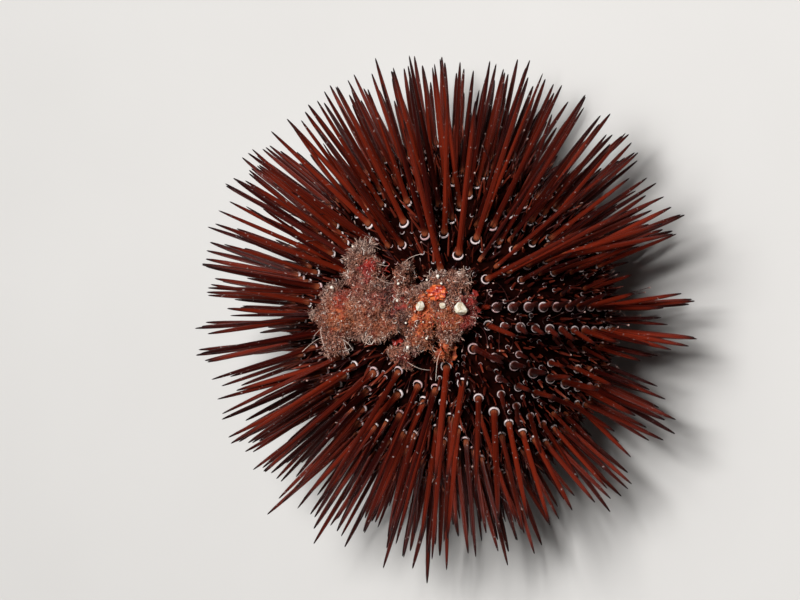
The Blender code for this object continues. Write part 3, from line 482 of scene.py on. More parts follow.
AHEAD_AZIMUTHS = (24.0, 45.0)
AHEAD_REACHES = (0.0080, 0.0160, 0.0195, 0.0225, 0.0250)
AHEAD_ANGLES = (3.0, 6.0, 16.0, 45.0, 70.0)
AHEAD_LENGTH = 0.0170
PARTED_REACHES = (0.0175, 0.0225)
PARTING_TURN = 44.0
FREE_LATITUDES = (-65.0, -40.0, -15.0, 0.0, 20.0, 45.0, 62.0)
FREE_ANGLES = (152.0, 128.0, 103.0, 88.0, 74.0, 62.0, 52.0)
FREE_SCATTER = 4.0
LENGTH_LATITUDES = (-65.0, -35.0, -10.0, 5.0)
FREE_LENGTHS = (0.0075, 0.0105, 0.0140, 0.0155)
LENGTH_SCATTER = 0.06
SIZES = (0.70, 0.80, 1.0)
LENGTH_SHARES = (0.66, 0.91, 1.0)
ROOT_RADIUS = 0.00056
WAIST_RADIUS = 0.00040
WAIST_PLACE = 0.5
POINT_RADIUS = 0.00012
STANDING_REACH = 1.2
BLUNTING = 1.45
SHORTEST_KEPT = 0.0012
GAP = 0.0003
SAME_AREA_GAP = 0.00018
OTHER_AREA_GAP = 0.00036
RELAX_ROUNDS = 70
CLEAR_EVERY = 10
PARTING_MARGIN = 1.3
FOOT_SHARE = 0.02
LEVER_SHARE = 0.25
LEAST_LEAN = 0.34
LEAST_BENT_LEAN = 0.30
BEND_ROUNDS = 4
BEND_STEP = 0.25
BEND_DIP = 0.25
CLEAR_STEPS = 40
CUT_BACK = 0.04
SLIM_SIZE = 0.70
SLIM_SHORTEST = 0.0030
SLIM_OFF_FLOOR = 0.93
SEED = 11

# Lobes of the clump that the spines stay clear of: east, north, three half sizes
LOBES = (
    (-0.0052, 0.0059, 0.0038, 0.0048, 0.0034),
    (-0.0095, 0.0001, 0.0055, 0.0053, 0.0034),
    (-0.0022, 0.0007, 0.0062, 0.0050, 0.0040),
    (0.0014, 0.0047, 0.0024, 0.0039, 0.0034),
    (0.0040, -0.0006, 0.0042, 0.0056, 0.0036),
    (0.0089, 0.0011, 0.0049, 0.0064, 0.0036),
    (0.0010, -0.0062, 0.0027, 0.0030, 0.0030),
    (0.0085, -0.0052, 0.0020, 0.0027, 0.0028),
    (-0.0106, -0.0038, 0.0034, 0.0035, 0.0030),
)
LOBE_LIFT = 0.0030
LOBE_ROUGHNESS = 0.0007
SEAT_RADIUS = 0.0062
RIM_RADIUS = 0.0108
RIM_LIFT = 0.0030


def turned(azimuth, polar):
    """Unit vectors at an azimuth and an angle from the vertical, in degrees."""
    a, p = np.broadcast_arrays(np.radians(azimuth), np.radians(polar))
    return np.stack([np.sin(p) * np.cos(a), np.sin(p) * np.sin(a), np.cos(p)], axis=-1)


SIGHT = turned(0.0, FACING_TILT)
RIGHT = turned(0.0, FACING_TILT + 90.0)
NORTH = np.array([0.0, 1.0, 0.0])


def length_to_ring(places, headings, reach):
    """Length at which a spine seen along the line of sight ends on the ring of tips. With m the
    root from the ring's middle, h the heading and r the reach, it solves |m + L h| = r."""
    moved = places - np.array(TIP_RING_SHIFT)
    slide = np.maximum((headings ** 2).sum(1), LEAST_SLIDE)
    along = (moved * headings).sum(1)
    spare = np.maximum(along ** 2 + slide * (reach ** 2 - (moved ** 2).sum(1)), 0.0)
    return (np.sqrt(spare) - along) / slide


def spine_pose(roots, normals, latitudes, azimuths, sizes, draw):
    """Ways and lengths before the spines are parted. On the near side a spine leans from the
    line of sight by its fan angle and ends on the ring of tips; on the far side it stands out
    at the polar angle of its latitude. The two are mixed by how far its knob faces the viewer."""
    count = len(roots)
    from_fan = roots - TEST_CENTRE - FAN_RISE * UP
    across, along = from_fan @ RIGHT, from_fan @ NORTH
    reach, heading = np.hypot(across, along), np.arctan2(along, across)
    bundle = sum(np.sin(turns * heading + slope * latitudes) for turns, slope in BUNDLE_WAVES)
    heading = heading + np.radians(BUNDLE_TURN * bundle + draw.normal(0.0, HEADING_SCATTER, count))
    off_middle = np.abs((azimuths - AHEAD_MIDDLE + 180.0) % 360.0 - 180.0)
    ahead = 1.0 - smooth(off_middle, *AHEAD_AZIMUTHS)
    side = np.sin(4.0 * math.pi * (azimuths - WHOLE_TURN) / AREA_TURN)
    parting = ahead * side * (1.0 - smooth(reach, *PARTED_REACHES))
    heading = heading + np.radians(PARTING_TURN * parting)
    leftward = 0.5 - 0.5 * np.cos(heading)
    spread = np.interp(reach, SPREAD_REACHES, SPREAD_ANGLES)
    spread = spread + LEFT_SPREAD * leftward - LEFT_SPREAD_FALL * leftward * (latitudes - LEFT_LATITUDE)
    spread = spread + draw.normal(0.0, SPREAD_SCATTER, count)
    raised = np.interp(reach, AHEAD_REACHES, AHEAD_ANGLES)
    fan = ahead * np.minimum(raised, spread) + (1.0 - ahead) * spread
    fan = np.radians(fan * smooth(reach, 0.0, FAN_CORE))[:, None]
    flat = np.cos(heading)[:, None] * RIGHT + np.sin(heading)[:, None] * NORTH
    seen_way = np.cos(fan) * SIGHT + np.sin(fan) * flat
    polar = np.interp(latitudes, FREE_LATITUDES, FREE_ANGLES)
    own_way = turned(azimuths + draw.normal(0.0, FREE_SCATTER, count),
                     polar + draw.normal(0.0, FREE_SCATTER, count))
    seen = smooth(normals @ SIGHT, *SEEN_FACINGS)
    ways = unit(seen[:, None] * seen_way + (1.0 - seen[:, None]) * own_way)
    fitted = length_to_ring(np.stack([across, along], 1), np.stack([ways @ RIGHT, ways @ NORTH], 1),
                            TIP_REACH * draw.normal(1.0, TIP_SCATTER, count))
    fitted = ahead * AHEAD_LENGTH + (1.0 - ahead) * fitted
    own_length = np.interp(latitudes, LENGTH_LATITUDES, FREE_LENGTHS)
    own_length = own_length * draw.normal(1.0, LENGTH_SCATTER, count)
    lengths = seen * fitted + (1.0 - seen) * own_length
    return ways, np.clip(lengths * np.interp(sizes, SIZES, LENGTH_SHARES), SHORTEST, LONGEST)


def closest(roots, shafts, other_roots, other_shafts):
    """Closest approach of pairs of straight shafts, by clamping the shares s and t that make the
    vector between square to both. Gives s, t and that vector."""
    w = roots - other_roots
    a, c = (shafts * shafts).sum(1), (other_shafts * other_shafts).sum(1)
    b = (shafts * other_shafts).sum(1)
    d, e = (shafts * w).sum(1), (other_shafts * w).sum(1)
    cross = np.maximum(a * c - b * b, 1e-18)
    s = np.clip((b * e - c * d) / cross, 0.0, 1.0)
    t = np.clip((b * s + e) / c, 0.0, 1.0)
    s = np.clip((b * t - d) / a, 0.0, 1.0)
    return s, t, w + s[:, None] * shafts - t[:, None] * other_shafts


def room_radius(share, sizes):
    """Half the room that a spine needs at a share of its length: root, waist, then the point."""
    return np.interp(share, (0.0, WAIST_PLACE, 1.0), (ROOT_RADIUS, WAIST_RADIUS, POINT_RADIUS)) * sizes


def height_over_test(points):
    """Distance of points from the upper shell to first order: (|p/s| - 1) over the length of
    its slope |p/s^2|, with s the ellipsoid's half sizes."""
    moved = points - TEST_CENTRE
    moved[..., 2] = np.maximum(moved[..., 2], 0.0)
    size = np.linalg.norm(moved / TEST_HALVES, axis=-1)
    slope = np.linalg.norm(moved / TEST_HALVES ** 2, axis=-1) / np.maximum(size, 1e-9)
    return (size - 1.0) / np.maximum(slope, 1e-9)


def lobe_places():
    """Middles of the lobes, each over the shell at its east and north place, and half sizes."""
    rows = np.array(LOBES)
    east, north = rows[:, 0], rows[:, 1]
    share = 1.0 - (east ** 2 + north ** 2) / TEST_RADIUS ** 2
    level = WIDEST_LEVEL + TEST_RISE * np.sqrt(share) + LOBE_LIFT
    return np.stack([east, north, level], axis=1), rows[:, 2:]


LOBE_MIDDLES, LOBE_HALVES = lobe_places()


def clump_lift(radius):
    """Height of the clump's underside over the shell at a distance from the axis."""
    return GAP + (RIM_LIFT - GAP) * smooth(radius, SEAT_RADIUS, RIM_RADIUS)


def in_clump(points, margin):
    """True where a point is inside a lobe grown by a margin and above the clump's underside."""
    inside = np.zeros(points.shape[:-1], dtype=bool)
    for centre, half in zip(LOBE_MIDDLES, LOBE_HALVES + LOBE_ROUGHNESS):
        inside |= (((points - centre) / (half + margin[..., None])) ** 2).sum(-1) < 1.0
    return inside & (height_over_test(points) > clump_lift(from_axis(points)) - margin)


def bend_clear(roots, normals, ways, lengths, sizes):
    """Turns spines up off the test and out from under the clump, and cuts what is left."""
    lean = (ways * normals).sum(1)
    ways = unit(ways + np.clip(LEAST_LEAN - lean, 0.0, 1.0)[:, None] * normals)
    shares = np.linspace(CUT_BACK, 1.0, CLEAR_STEPS)
    for _ in range(BEND_ROUNDS):
        points = roots[:, None] + shares[None, :, None] * (ways * lengths[:, None])[:, None]
        hit = in_clump(points, room_radius(shares[None], sizes[:, None]) + OTHER_AREA_GAP)
        pull = unit(at_level(roots, 0.0)) - BEND_DIP * UP
        turned_out = unit(ways + BEND_STEP * pull)
        move = hit.any(1) & ((turned_out * normals).sum(1) > LEAST_BENT_LEAN)
        ways = np.where(move[:, None], turned_out, ways)
    first_hit = np.where(hit.any(1), shares[np.argmax(hit, axis=1)], 1.0)
    return ways, lengths * np.where(first_hit < 1.0, np.maximum(first_hit - CUT_BACK, FOOT_SHARE), 1.0)


def close_pairs(areas, roots, held):
    """Pairs of spines that may meet, apart from pairs of held ones, and the gap each keeps."""
    first, second = np.triu_indices(len(roots), 1)
    near = np.linalg.norm(roots[first] - roots[second], axis=1) < 2.0 * LONGEST
    near &= second >= held
    first, second = first[near], second[near]
    return first, second, np.where(areas[first] == areas[second], SAME_AREA_GAP, OTHER_AREA_GAP)


def part_spines(areas, roots, normals, ways, lengths, sizes, held):
    """Moves spines apart where they would touch: for each close pair the vector between, times
    half the missing room over the distance, turns both, in repeated rounds. The first spines,
    as many as are held, stay as they are, and the other one of such a pair moves twice as far."""
    first, second, gap = close_pairs(areas, roots, held)
    part = np.where(first < held, 1.0, 0.5)
    ways, lengths = ways.copy(), lengths.copy()
    for step in range(RELAX_ROUNDS):
        shafts = ways * lengths[:, None]
        s, t, between = closest(roots[first], shafts[first], roots[second], shafts[second])
        apart = np.linalg.norm(between, axis=1)
        wanted = room_radius(s, sizes[first]) + room_radius(t, sizes[second]) + PARTING_MARGIN * gap
        close = (apart < wanted) & (s > FOOT_SHARE) & (t > FOOT_SHARE)
        push = ((wanted - apart) / np.maximum(apart, 1e-6) * part * close)[:, None] * between
        shift = np.zeros_like(ways)
        np.add.at(shift, first, push / np.maximum(s, LEVER_SHARE)[:, None])
        np.add.at(shift, second, -push / np.maximum(t, LEVER_SHARE)[:, None])
        ways[held:] = unit(ways + shift / lengths[:, None])[held:]
        if step % CLEAR_EVERY == CLEAR_EVERY - 1:
            ways[held:], lengths[held:] = bend_clear(roots[held:], normals[held:], ways[held:],
                                                     lengths[held:], sizes[held:])
    return ways, lengths


def cramped(areas, roots, normals, ways, lengths, sizes, held):
    """True for the spines after the held ones that have no room: they still come too close to
    one before them, or pass low over the border of their area."""
    first, second, gap = close_pairs(areas, roots, held)
    shafts = ways * lengths[:, None]
    s, t, between = closest(roots[first], shafts[first], roots[second], shafts[second])
    room = np.linalg.norm(between, axis=1) - room_radius(s, sizes[first]) - room_radius(t, sizes[second])
    tight = np.zeros(len(roots), dtype=bool)
    tight[second[room < gap]] = True
    _, back, on = borders_beside(np.degrees(np.arctan2(roots[:, 1], roots[:, 0])))
    around = unit(np.stack([-roots[:, 1], roots[:, 0], 0.0 * roots[:, 0]], axis=1))
    sideways = (ways * around).sum(1)
    far = np.radians(np.where(sideways > 0.0, on, back)) * from_axis(roots)
    run = far / np.maximum(np.abs(sideways), 1e-6)
    low = (ways * normals).sum(1) * run < room_radius(0.0, sizes) + OTHER_AREA_GAP
    tight[held:] |= (low & (run < lengths))[held:]
    return tight


def tubes(middles, radii, sides):
    """Closed tubes along lines of points: middle + radius (cos a e + sin a f), with e and f
    square to the line and carried along it from ring to ring, and a point on the line for each
    end. The points of a tube are its rings in order and then its two ends."""
    count, rings = middles.shape[:2]
    ways = unit(np.gradient(middles, axis=1))
    helper = np.where(np.abs(ways[:, :1, 2:]) < 0.9, UP, np.array([1.0, 0.0, 0.0]))
    east = unit(np.cross(helper[:, 0], ways[:, 0]))
    angle = 2 * np.pi * np.arange(sides) / sides
    body = np.empty((count, rings, sides, 3))
    for ring in range(rings):
        way = ways[:, ring]
        east = unit(east - (east * way).sum(1, keepdims=True) * way)
        north = np.cross(way, east)
        spoke = np.cos(angle)[:, None] * east[:, None] + np.sin(angle)[:, None] * north[:, None]
        body[:, ring] = middles[:, ring, None] + radii[:, ring, None, None] * spoke
    flat = np.concatenate([body.reshape(count, -1, 3), middles[:, :1], middles[:, -1:]], axis=1)
    return flat.reshape(-1, 3), ring_faces(count, rings, sides)


def tube_mark(values, count, rings, sides):
    """One number per point of tubes, from a number for all, one for each tube, or a row of one
    for each ring."""
    values = np.asarray(values)
    by_ring = np.broadcast_to(values[:, None] if values.ndim == 1 else values, (count, rings))
    body = np.repeat(by_ring, sides, axis=1)
    return np.concatenate([body, by_ring[:, :1], by_ring[:, -1:]], axis=1).reshape(-1)


def tube_piece(name, lines, radii, sides, finish, slot, corners, **marks):
    """A piece of tubes along lines, with a patch of the unwrap for each and marks as above."""
    marks = {key: tube_mark(values, *lines.shape[:2], sides) for key, values in marks.items()}
    return new_piece(name, *tubes(lines, radii, sides), finish, slot, corners, PATCH, **marks)


def floor_length(roots, ways):
    """Length at which spines that point down reach the floor, and a great one for the others."""
    return roots[:, 2] / np.maximum(-ways[:, 2], 1e-3)


draw = np.random.default_rng(SEED)
large_ways, large_lengths = spine_pose(large_roots, large_normals, large_latitude, large_azimuth,
                                       large_size, draw)
large_ways, large_lengths = part_spines(large_area, large_roots, large_normals, large_ways,
                                        large_lengths, large_size, 0)
standing = floor_length(large_roots, large_ways) < STANDING_REACH * large_lengths
large_lengths = np.where(standing, BLUNTING * floor_length(large_roots, large_ways), large_lengths)

# The slim ones take the room that the large ones leave, and end above the floor
draw = np.random.default_rng(SLIM_SEED)
middle_size = np.full(len(middle_roots), SLIM_SIZE)
middle_ways, middle_lengths = spine_pose(middle_roots, middle_normals, middle_latitude, middle_azimuth,
                                         middle_size, draw)
middle_lengths = np.minimum(middle_lengths, SLIM_OFF_FLOOR * floor_length(middle_roots, middle_ways))
held = len(large_roots)
both = [np.concatenate(pair) for pair in (
    (large_area, middle_area), (large_roots, middle_roots), (large_normals, middle_normals),
    (large_ways, middle_ways), (large_lengths, middle_lengths), (large_size, middle_size))]
both[3], both[4] = part_spines(*both, held)
roomy = (both[4][held:] > SLIM_SHORTEST) & ~cramped(*both, held)[held:]
middle_ways, middle_lengths = both[3][held:][roomy], both[4][held:][roomy]
is_kept = np.flatnonzero(large_lengths > SHORTEST_KEPT)
feet = large_roots - POINT_RADIUS * UP
large_lengths = np.where(standing, floor_length(feet, large_ways), large_lengths)

# Distance from the root in metres for the lower rings, but at most a share of the length, and
# share of the length for the upper ones
NECK_RINGS = np.array([0.0005, 0.0008, 0.0011, 0.0016, 0.0030])
NECK_SHARES = np.array([0.04, 0.06, 0.09, 0.14, 0.26])
SHAFT_SHARES = np.array([0.42, 0.62, 0.80, 0.92, 0.985, 1.0])
SHAFT_RADII = np.array([0.50, 0.56, 0.57, 0.47, 0.44, 0.425, 0.39, 0.325, 0.23, 0.12, 0.035]) * 0.001
SHAFT_SIDES = 10
BLUNT_RADIUS = 0.00020
RIBS = 14


def shaft_lines(roots, ways, lengths, radii, blunt):
    """Rings of straight shafts: the lower ones at set distances, or at a set share where the
    spine is short, the rest at shares of its length. A blunt one keeps some width at its end."""
    low = np.minimum(NECK_RINGS, NECK_SHARES * lengths[:, None])
    place = np.concatenate([low, SHAFT_SHARES * lengths[:, None]], axis=1)
    wide = np.where(blunt[:, None], np.maximum(radii, BLUNT_RADIUS), radii)
    return roots[:, None] + ways[:, None] * place[..., None], wide


draw = np.random.default_rng(31)
tint = draw.uniform(0.0, 1.0, len(is_kept))
stout = large_size[is_kept] * draw.uniform(0.90, 1.10, len(is_kept))
middles, radii = shaft_lines(large_roots[is_kept], large_ways[is_kept], large_lengths[is_kept],
                             SHAFT_RADII * stout[:, None], standing[is_kept])
shaft_finish, start = new_finish("spine_shaft", roughness=0.33, specular_ior_level=0.19)
share, round_share = tube_share(start, "Y"), tube_share(start, "X")
streak = start.make("ShaderNodeCombineXYZ", inputs={0: 9.0 * round_share, 1: 1.4 * share,
                                                    2: 40.0 * mark(start, "tint")})
lines = grain(start, 1.6, 3.0, streak)
turn = 2 * math.pi * RIBS * round_share
warm = (0.55 * mark(start, "tint") + 0.9 * lines).between(0.35, 1.05)
body = warm.blend((0.030, 0.0018, 0.0012), (0.200, 0.0180, 0.0058))
body = share.between(0.66, 0.92).blend(body, (0.016, 0.0016, 0.0020))
body = share.between(0.16, 0.36).blend((0.270, 0.0640, 0.0260), body)
specks = 0.6 * grain(start, 1700.0, 1.0).between(0.70, 0.77)
dress(start, bump=0.5 * turn.maths("COSINE", turn) + lines, bump_depth=0.00006,
      base_color=specks.blend(body, (0.55, 0.45, 0.42)))
large_corners = unwrapped(large_latitude, large_azimuth)[is_kept]
for name, own in (("narrow_area_spines", large_area[is_kept] < AREAS),
                  ("wide_area_spines", large_area[is_kept] >= AREAS)):
    tube_piece(name, middles[own], radii[own], SHAFT_SIDES, shaft_finish, "test_and_spines",
               large_corners[own], tint=tint[own])


# The collars
# Muscle and skin hold the foot of each spine to its knob in a collar. Its lip is painted pale in a
# crescent on the side that the spine leans away from, partly the collar's own pale colour and partly
# a painted highlight, and it is dark on the other side.
COLLAR_SIDES = 16
COLLAR_LEVELS = np.array([0.00000, 0.00024, 0.00044, 0.00056, 0.00054, 0.00032])
COLLAR_RADII = np.array([0.00072, 0.00080, 0.00079, 0.00067, 0.00056, 0.00046])
LIP = np.array([0.0, 0.5, 1.0, 1.0, 0.2, 0.0])
FOOT_STAND = 0.000252
COLLAR_LEAN = 0.42
COLLAR_STEP = 0.0001
GLINT_RADIUS = 0.00075
FOLDS = 28


def collar_piece(name, roots, normals, ways, sizes, tint, corners, sides, lowest=0):
    """A piece of short closed tubes round each foot, whose axis lies between the normal and the
    spine's way. They are built on even steps and then moved along it to their levels, from the
    lowest one wanted up. The mark for the painted highlight is the share opposite the lean."""
    levels = COLLAR_LEVELS[lowest:]
    axes = unit(COLLAR_LEAN * ways + (1.0 - COLLAR_LEAN) * normals)
    feet = roots + FOOT_STAND * normals * sizes[:, None]
    middles = feet[:, None] + axes[:, None] * (levels[None, :, None] * sizes[:, None, None])
    line = feet[:, None] + axes[:, None] * (np.arange(len(levels))[None, :, None] * COLLAR_STEP)
    points, faces = tubes(line, COLLAR_RADII[lowest:] * sizes[:, None], sides)
    shift = middles - line
    shift = np.concatenate([np.repeat(shift, sides, axis=1), shift[:, :1], shift[:, -1:]], axis=1)
    points = points.reshape(shift.shape) + shift
    lean = ways - (ways * axes).sum(1, keepdims=True) * axes
    tilt = np.linalg.norm(lean, axis=1, keepdims=True)
    away = -((points - feet[:, None]) * (lean / np.maximum(tilt, 1e-6))[:, None]).sum(2)
    bow = away / (GLINT_RADIUS * sizes[:, None]) + 0.9 * (1.0 - smooth(tilt, 0.15, 0.6))
    size = len(roots), len(levels), sides
    new_piece(name, points.reshape(-1, 3), faces, collar_finish, "test_and_spines", corners, PATCH,
              tint=tube_mark(tint, *size), bow=bow.reshape(-1), lip=tube_mark(LIP[None, lowest:], *size))


collar_finish, start = new_finish("collar", roughness=0.22)
# Painted highlight: the lip rings turn pale only on the side away from the lean, partly the collar's own
# colour
lip = mark(start, "lip").between(0.45, 0.95) * mark(start, "bow").between(-0.25, 0.30)
turn = 2 * math.pi * FOLDS * tube_share(start, "X")
pale = (grain(start, 900.0) + 0.4 * mark(start, "tint")).between(0.4, 0.9).blend(
    (0.55, 0.33, 0.33), (0.86, 0.74, 0.73))
dress(start, bump=turn.maths("SINE", turn), bump_depth=0.00002,
      base_color=lip.blend((0.020, 0.0050, 0.0038), pale))
collar_piece("collars", large_roots[is_kept], large_normals[is_kept], large_ways[is_kept], stout, tint,
             large_corners, COLLAR_SIDES)


# The small spines
# Between the large spines stand slim ones like them and two smaller kinds, the secondaries and
# the miliaries, short, thin and redder, which fill the skin between the rows. They lean the way
# their large neighbours do.
SLIM_STOUTNESS = (0.58, 0.74)
SLIM_SIDES = 8
SECOND_LENGTHS = (0.0018, 0.0044)
LEAST_LENGTHS = (0.0014, 0.0028)
SMALL_SHARES = np.array([0.0, 0.10, 0.45, 0.80, 1.0])
SMALL_RADII = np.array([1.1, 0.95, 0.90, 0.62, 0.12])
SMALL_JITTER = 0.16
SMALL_OFF_FLOOR = 0.95
SHORTER_AHEAD = 0.35
TOWARDS_VIEWER = 1.3
SMALL_COLLAR_SHARE = 0.45
SMALL_COLLAR_SIZES = (0.30, 0.52)
SMALL_COLLAR_SIDES = 7
AHEAD_SKIN = (24.0, 52.0)


def seen_ahead(roots):
    """1 in the sector that faces the viewer, falling off smoothly to 0 on both sides."""
    azimuths = np.degrees(np.arctan2(roots[:, 1], roots[:, 0]))
    return 1.0 - smooth(np.abs(azimuths - AHEAD_MIDDLE), *AHEAD_SKIN)


def leaning(roots, normals, own, jitter, draw):
    """Ways of small spines: the nearest large spine's way and the normal mixed, plus a draw. In
    the sector that faces the viewer, half outwards from the line of sight and half along it
    takes the place of the large spine's way."""
    near = np.linalg.norm(roots[:, None] - large_roots[None], axis=2).argmin(1)
    ahead = seen_ahead(roots)[:, None]
    outwards = unit(((roots - TEST_CENTRE) @ RIGHT)[:, None] * RIGHT + roots[:, 1:2] * NORTH)
    outwards = unit(outwards + TOWARDS_VIEWER * SIGHT)
    lean = (1.0 - ahead) * large_ways[near] + ahead * outwards
    return unit(own * lean + (1.0 - own) * normals + draw.normal(0.0, jitter, roots.shape))


small_finish, start = new_finish("small_spine", roughness=0.40, specular_ior_level=0.22)
warm = (mark(start, "tint") + 0.5 * grain(start, 700.0)).between(0.25, 1.25)
body = warm.blend((0.020, 0.0016, 0.0012), (0.200, 0.0280, 0.0130))
# Painted highlight: the tips of the spines with a high tint turn pale pink
tip = (tube_share(start, "Y") * mark(start, "tint")).between(0.50, 0.95)
dress(start, bump=grain(start, 3000.0), bump_depth=0.00003,
      base_color=tip.blend(body, (0.34, 0.105, 0.060)))
draw = np.random.default_rng(40)
number = roomy.sum()
middles, radii = shaft_lines(middle_roots[roomy], middle_ways, middle_lengths,
                             SHAFT_RADII * draw.uniform(*SLIM_STOUTNESS, (number, 1)),
                             np.zeros(number, dtype=bool))
# Painted shade: the slim spines take their tint from a lower range than the large ones, so they come out
# darker as the layer under them
tube_piece("middle_spines", middles, radii, SLIM_SIDES, shaft_finish, "test_and_spines",
           unwrapped(middle_latitude, middle_azimuth)[roomy], tint=draw.uniform(-0.3, 0.6, number))
draw = np.random.default_rng(41)
for name, roots, normals, latitude, azimuth, reach, width, sides, own in (
        ("secondary_spines", second_roots, second_normals, second_latitude, second_azimuth,
         SECOND_LENGTHS, 0.00022, 6, 0.60),
        ("miliary_spines", least_roots, least_normals, least_latitude, least_azimuth,
         LEAST_LENGTHS, 0.00012, 5, 0.45)):
    ways = leaning(roots, normals, own, SMALL_JITTER, draw)
    lengths = draw.uniform(*reach, len(roots)) * (1.0 - SHORTER_AHEAD * seen_ahead(roots))
    lengths = np.minimum(lengths, SMALL_OFF_FLOOR * floor_length(roots, ways))
    tips = roots + ways * lengths[:, None]
    lengths = lengths * np.where(in_clump(tips, np.zeros(len(roots))), 0.5, 1.0)
    radii = width * SMALL_RADII * draw.uniform(0.8, 1.2, (len(roots), 1))
    middles = roots[:, None] + ways[:, None] * (SMALL_SHARES[None, :, None] * lengths[:, None, None])
    corners = unwrapped(latitude, azimuth)
    tube_piece(name, middles, radii, sides, small_finish, "test_and_spines", corners,
               tint=draw.uniform(0, 1, len(roots)) ** 2)
    if name == "secondary_spines":
        some = np.flatnonzero(draw.uniform(0, 1, len(roots)) < SMALL_COLLAR_SHARE)
        collar_piece("small_collars", roots[some], normals[some], ways[some],
                     draw.uniform(*SMALL_COLLAR_SIZES, len(some)), draw.uniform(0, 1, len(some)),
                     corners[some], SMALL_COLLAR_SIDES, lowest=1)


# The pedicellariae and the tube feet
# Small three-jawed pincers on stalks stand all over the skin and keep it clean. The tube feet
# come out in two rows along the narrow areas, thin soft stalks with a sucking disc at the end,
# and some of them reach up and hold the clump.
PINCER_RINGS = np.array([0.0, 0.3, 0.6, 0.80, 0.86, 0.93, 1.0])
PINCER_RADII = np.array([1.0, 0.8, 0.8, 0.9, 2.0, 1.8, 0.5]) * 0.00005
PINCER_HEAD = np.array([0.0, 0.0, 0.0, 0.1, 0.6, 0.8, 1.0])
PINCER_LENGTHS = (0.0016, 0.0034)
PINCER_SITES = (7.0, 0.0032, 0.0011, 46)
FOOT_RINGS = np.array([0.0, 0.12, 0.25, 0.40, 0.55, 0.70, 0.83, 0.93, 0.975, 1.0])
FOOT_RADII = np.array([1.4, 1.0, 0.9, 0.85, 0.8, 0.8, 0.8, 0.85, 1.7, 1.5]) * 0.000085
FOOT_DISC = np.array([0.0, 0.0, 0.0, 0.0, 0.0, 0.0, 0.0, 0.05, 0.5, 1.0])
FOOT_LENGTHS = (0.0030, 0.0070)
FOOT_ROW_TURN = 3.4
FOOT_SHARE_KEPT = 0.50
FOOT_OFF_FLOOR = 0.80
LEAST_HEIGHT = 0.0006
STALK_SIDES = 6


def bent_lines(roots, ways, lengths, shares, bend, draw):
    """Lines that start along their ways and bend sideways: root + s L way + bend L s^2 sideways,
    with a second, weaker bend that turns with the share."""
    side = unit(np.cross(ways, draw.normal(size=ways.shape)))
    other = np.cross(ways, side)
    wind = draw.uniform(2.0, 4.5, (len(roots), 1)) * shares + draw.uniform(0, 6.3, (len(roots), 1))
    turn = 0.10 * (np.sin(wind) - np.sin(wind[:, :1]))
    share = np.broadcast_to(shares, wind.shape)[..., None]
    path = share * ways[:, None] + bend[:, None, None] * share ** 2 * side[:, None]
    return roots[:, None] + lengths[:, None, None] * (path + turn[..., None] * other[:, None])


stalk_finish, start = new_finish("soft_stalk", roughness=0.30, specular_ior_level=0.35)
body = mark(start, "tint").blend((0.020, 0.0040, 0.0050), (0.120, 0.0340, 0.0270))
dress(start, base_color=mark(start, "head").blend(body, (0.50, 0.33, 0.29)))
draw = np.random.default_rng(45)
latitude, azimuth = small_sites(*PINCER_SITES)
roots, normals = on_test(latitude, azimuth)
ways = leaning(roots, normals, 0.45, 0.30, draw)
lines = bent_lines(roots, ways, draw.uniform(*PINCER_LENGTHS, len(roots)), PINCER_RINGS,
                   draw.uniform(0.0, 0.35, len(roots)), draw)
tube_piece("pedicellariae", lines, PINCER_RADII * draw.uniform(0.8, 1.25, (len(roots), 1)),
           STALK_SIDES, stalk_finish, "test_and_spines", unwrapped(latitude, azimuth),
           tint=draw.uniform(0, 1, len(roots)), head=PINCER_HEAD[None])
narrow = (large_area < AREAS) & (draw.uniform(0, 1, len(large_area)) < FOOT_SHARE_KEPT)
latitude = np.repeat(large_latitude[narrow], 2) + draw.uniform(-2.5, 2.5, 2 * narrow.sum())
azimuth = np.repeat(large_azimuth[narrow], 2) + draw.normal(0.0, 1.0, 2 * narrow.sum()) \
    + np.tile([FOOT_ROW_TURN, -FOOT_ROW_TURN], narrow.sum())
roots, normals = on_test(latitude, azimuth)
ways = leaning(roots, normals, 0.35, 0.22, draw)
lengths = np.minimum(draw.uniform(*FOOT_LENGTHS, len(roots)), FOOT_OFF_FLOOR * floor_length(roots, ways))
lines = bent_lines(roots, ways, lengths, FOOT_RINGS, draw.uniform(0.0, 0.45, len(roots)), draw)
above = lines[..., 2].min(1) > LEAST_HEIGHT
tube_piece("tube_feet", lines[above], FOOT_RADII * draw.uniform(0.7, 1.1, (above.sum(), 1)),
           STALK_SIDES, stalk_finish, "test_and_spines", unwrapped(latitude, azimuth)[above],
           tint=0.6 * draw.uniform(0, 1, above.sum()), head=FOOT_DISC[None])


# The disc on top
# Ten plates ring the vent: five large ones with a pore each at the ends of the wide areas and
# five small ones at the ends of the narrow areas. The vent lies in a patch of tiny platelets.
DISC_RINGS = 60
DISC_SIDES = 180
DISC_TOP = 89.6
GROOVE_WIDTH = 0.00016
GROOVE_DEPTH = 0.00014
PORE_RADII = (0.00012, 0.00030)
SEAT_LIFT = 0.0002


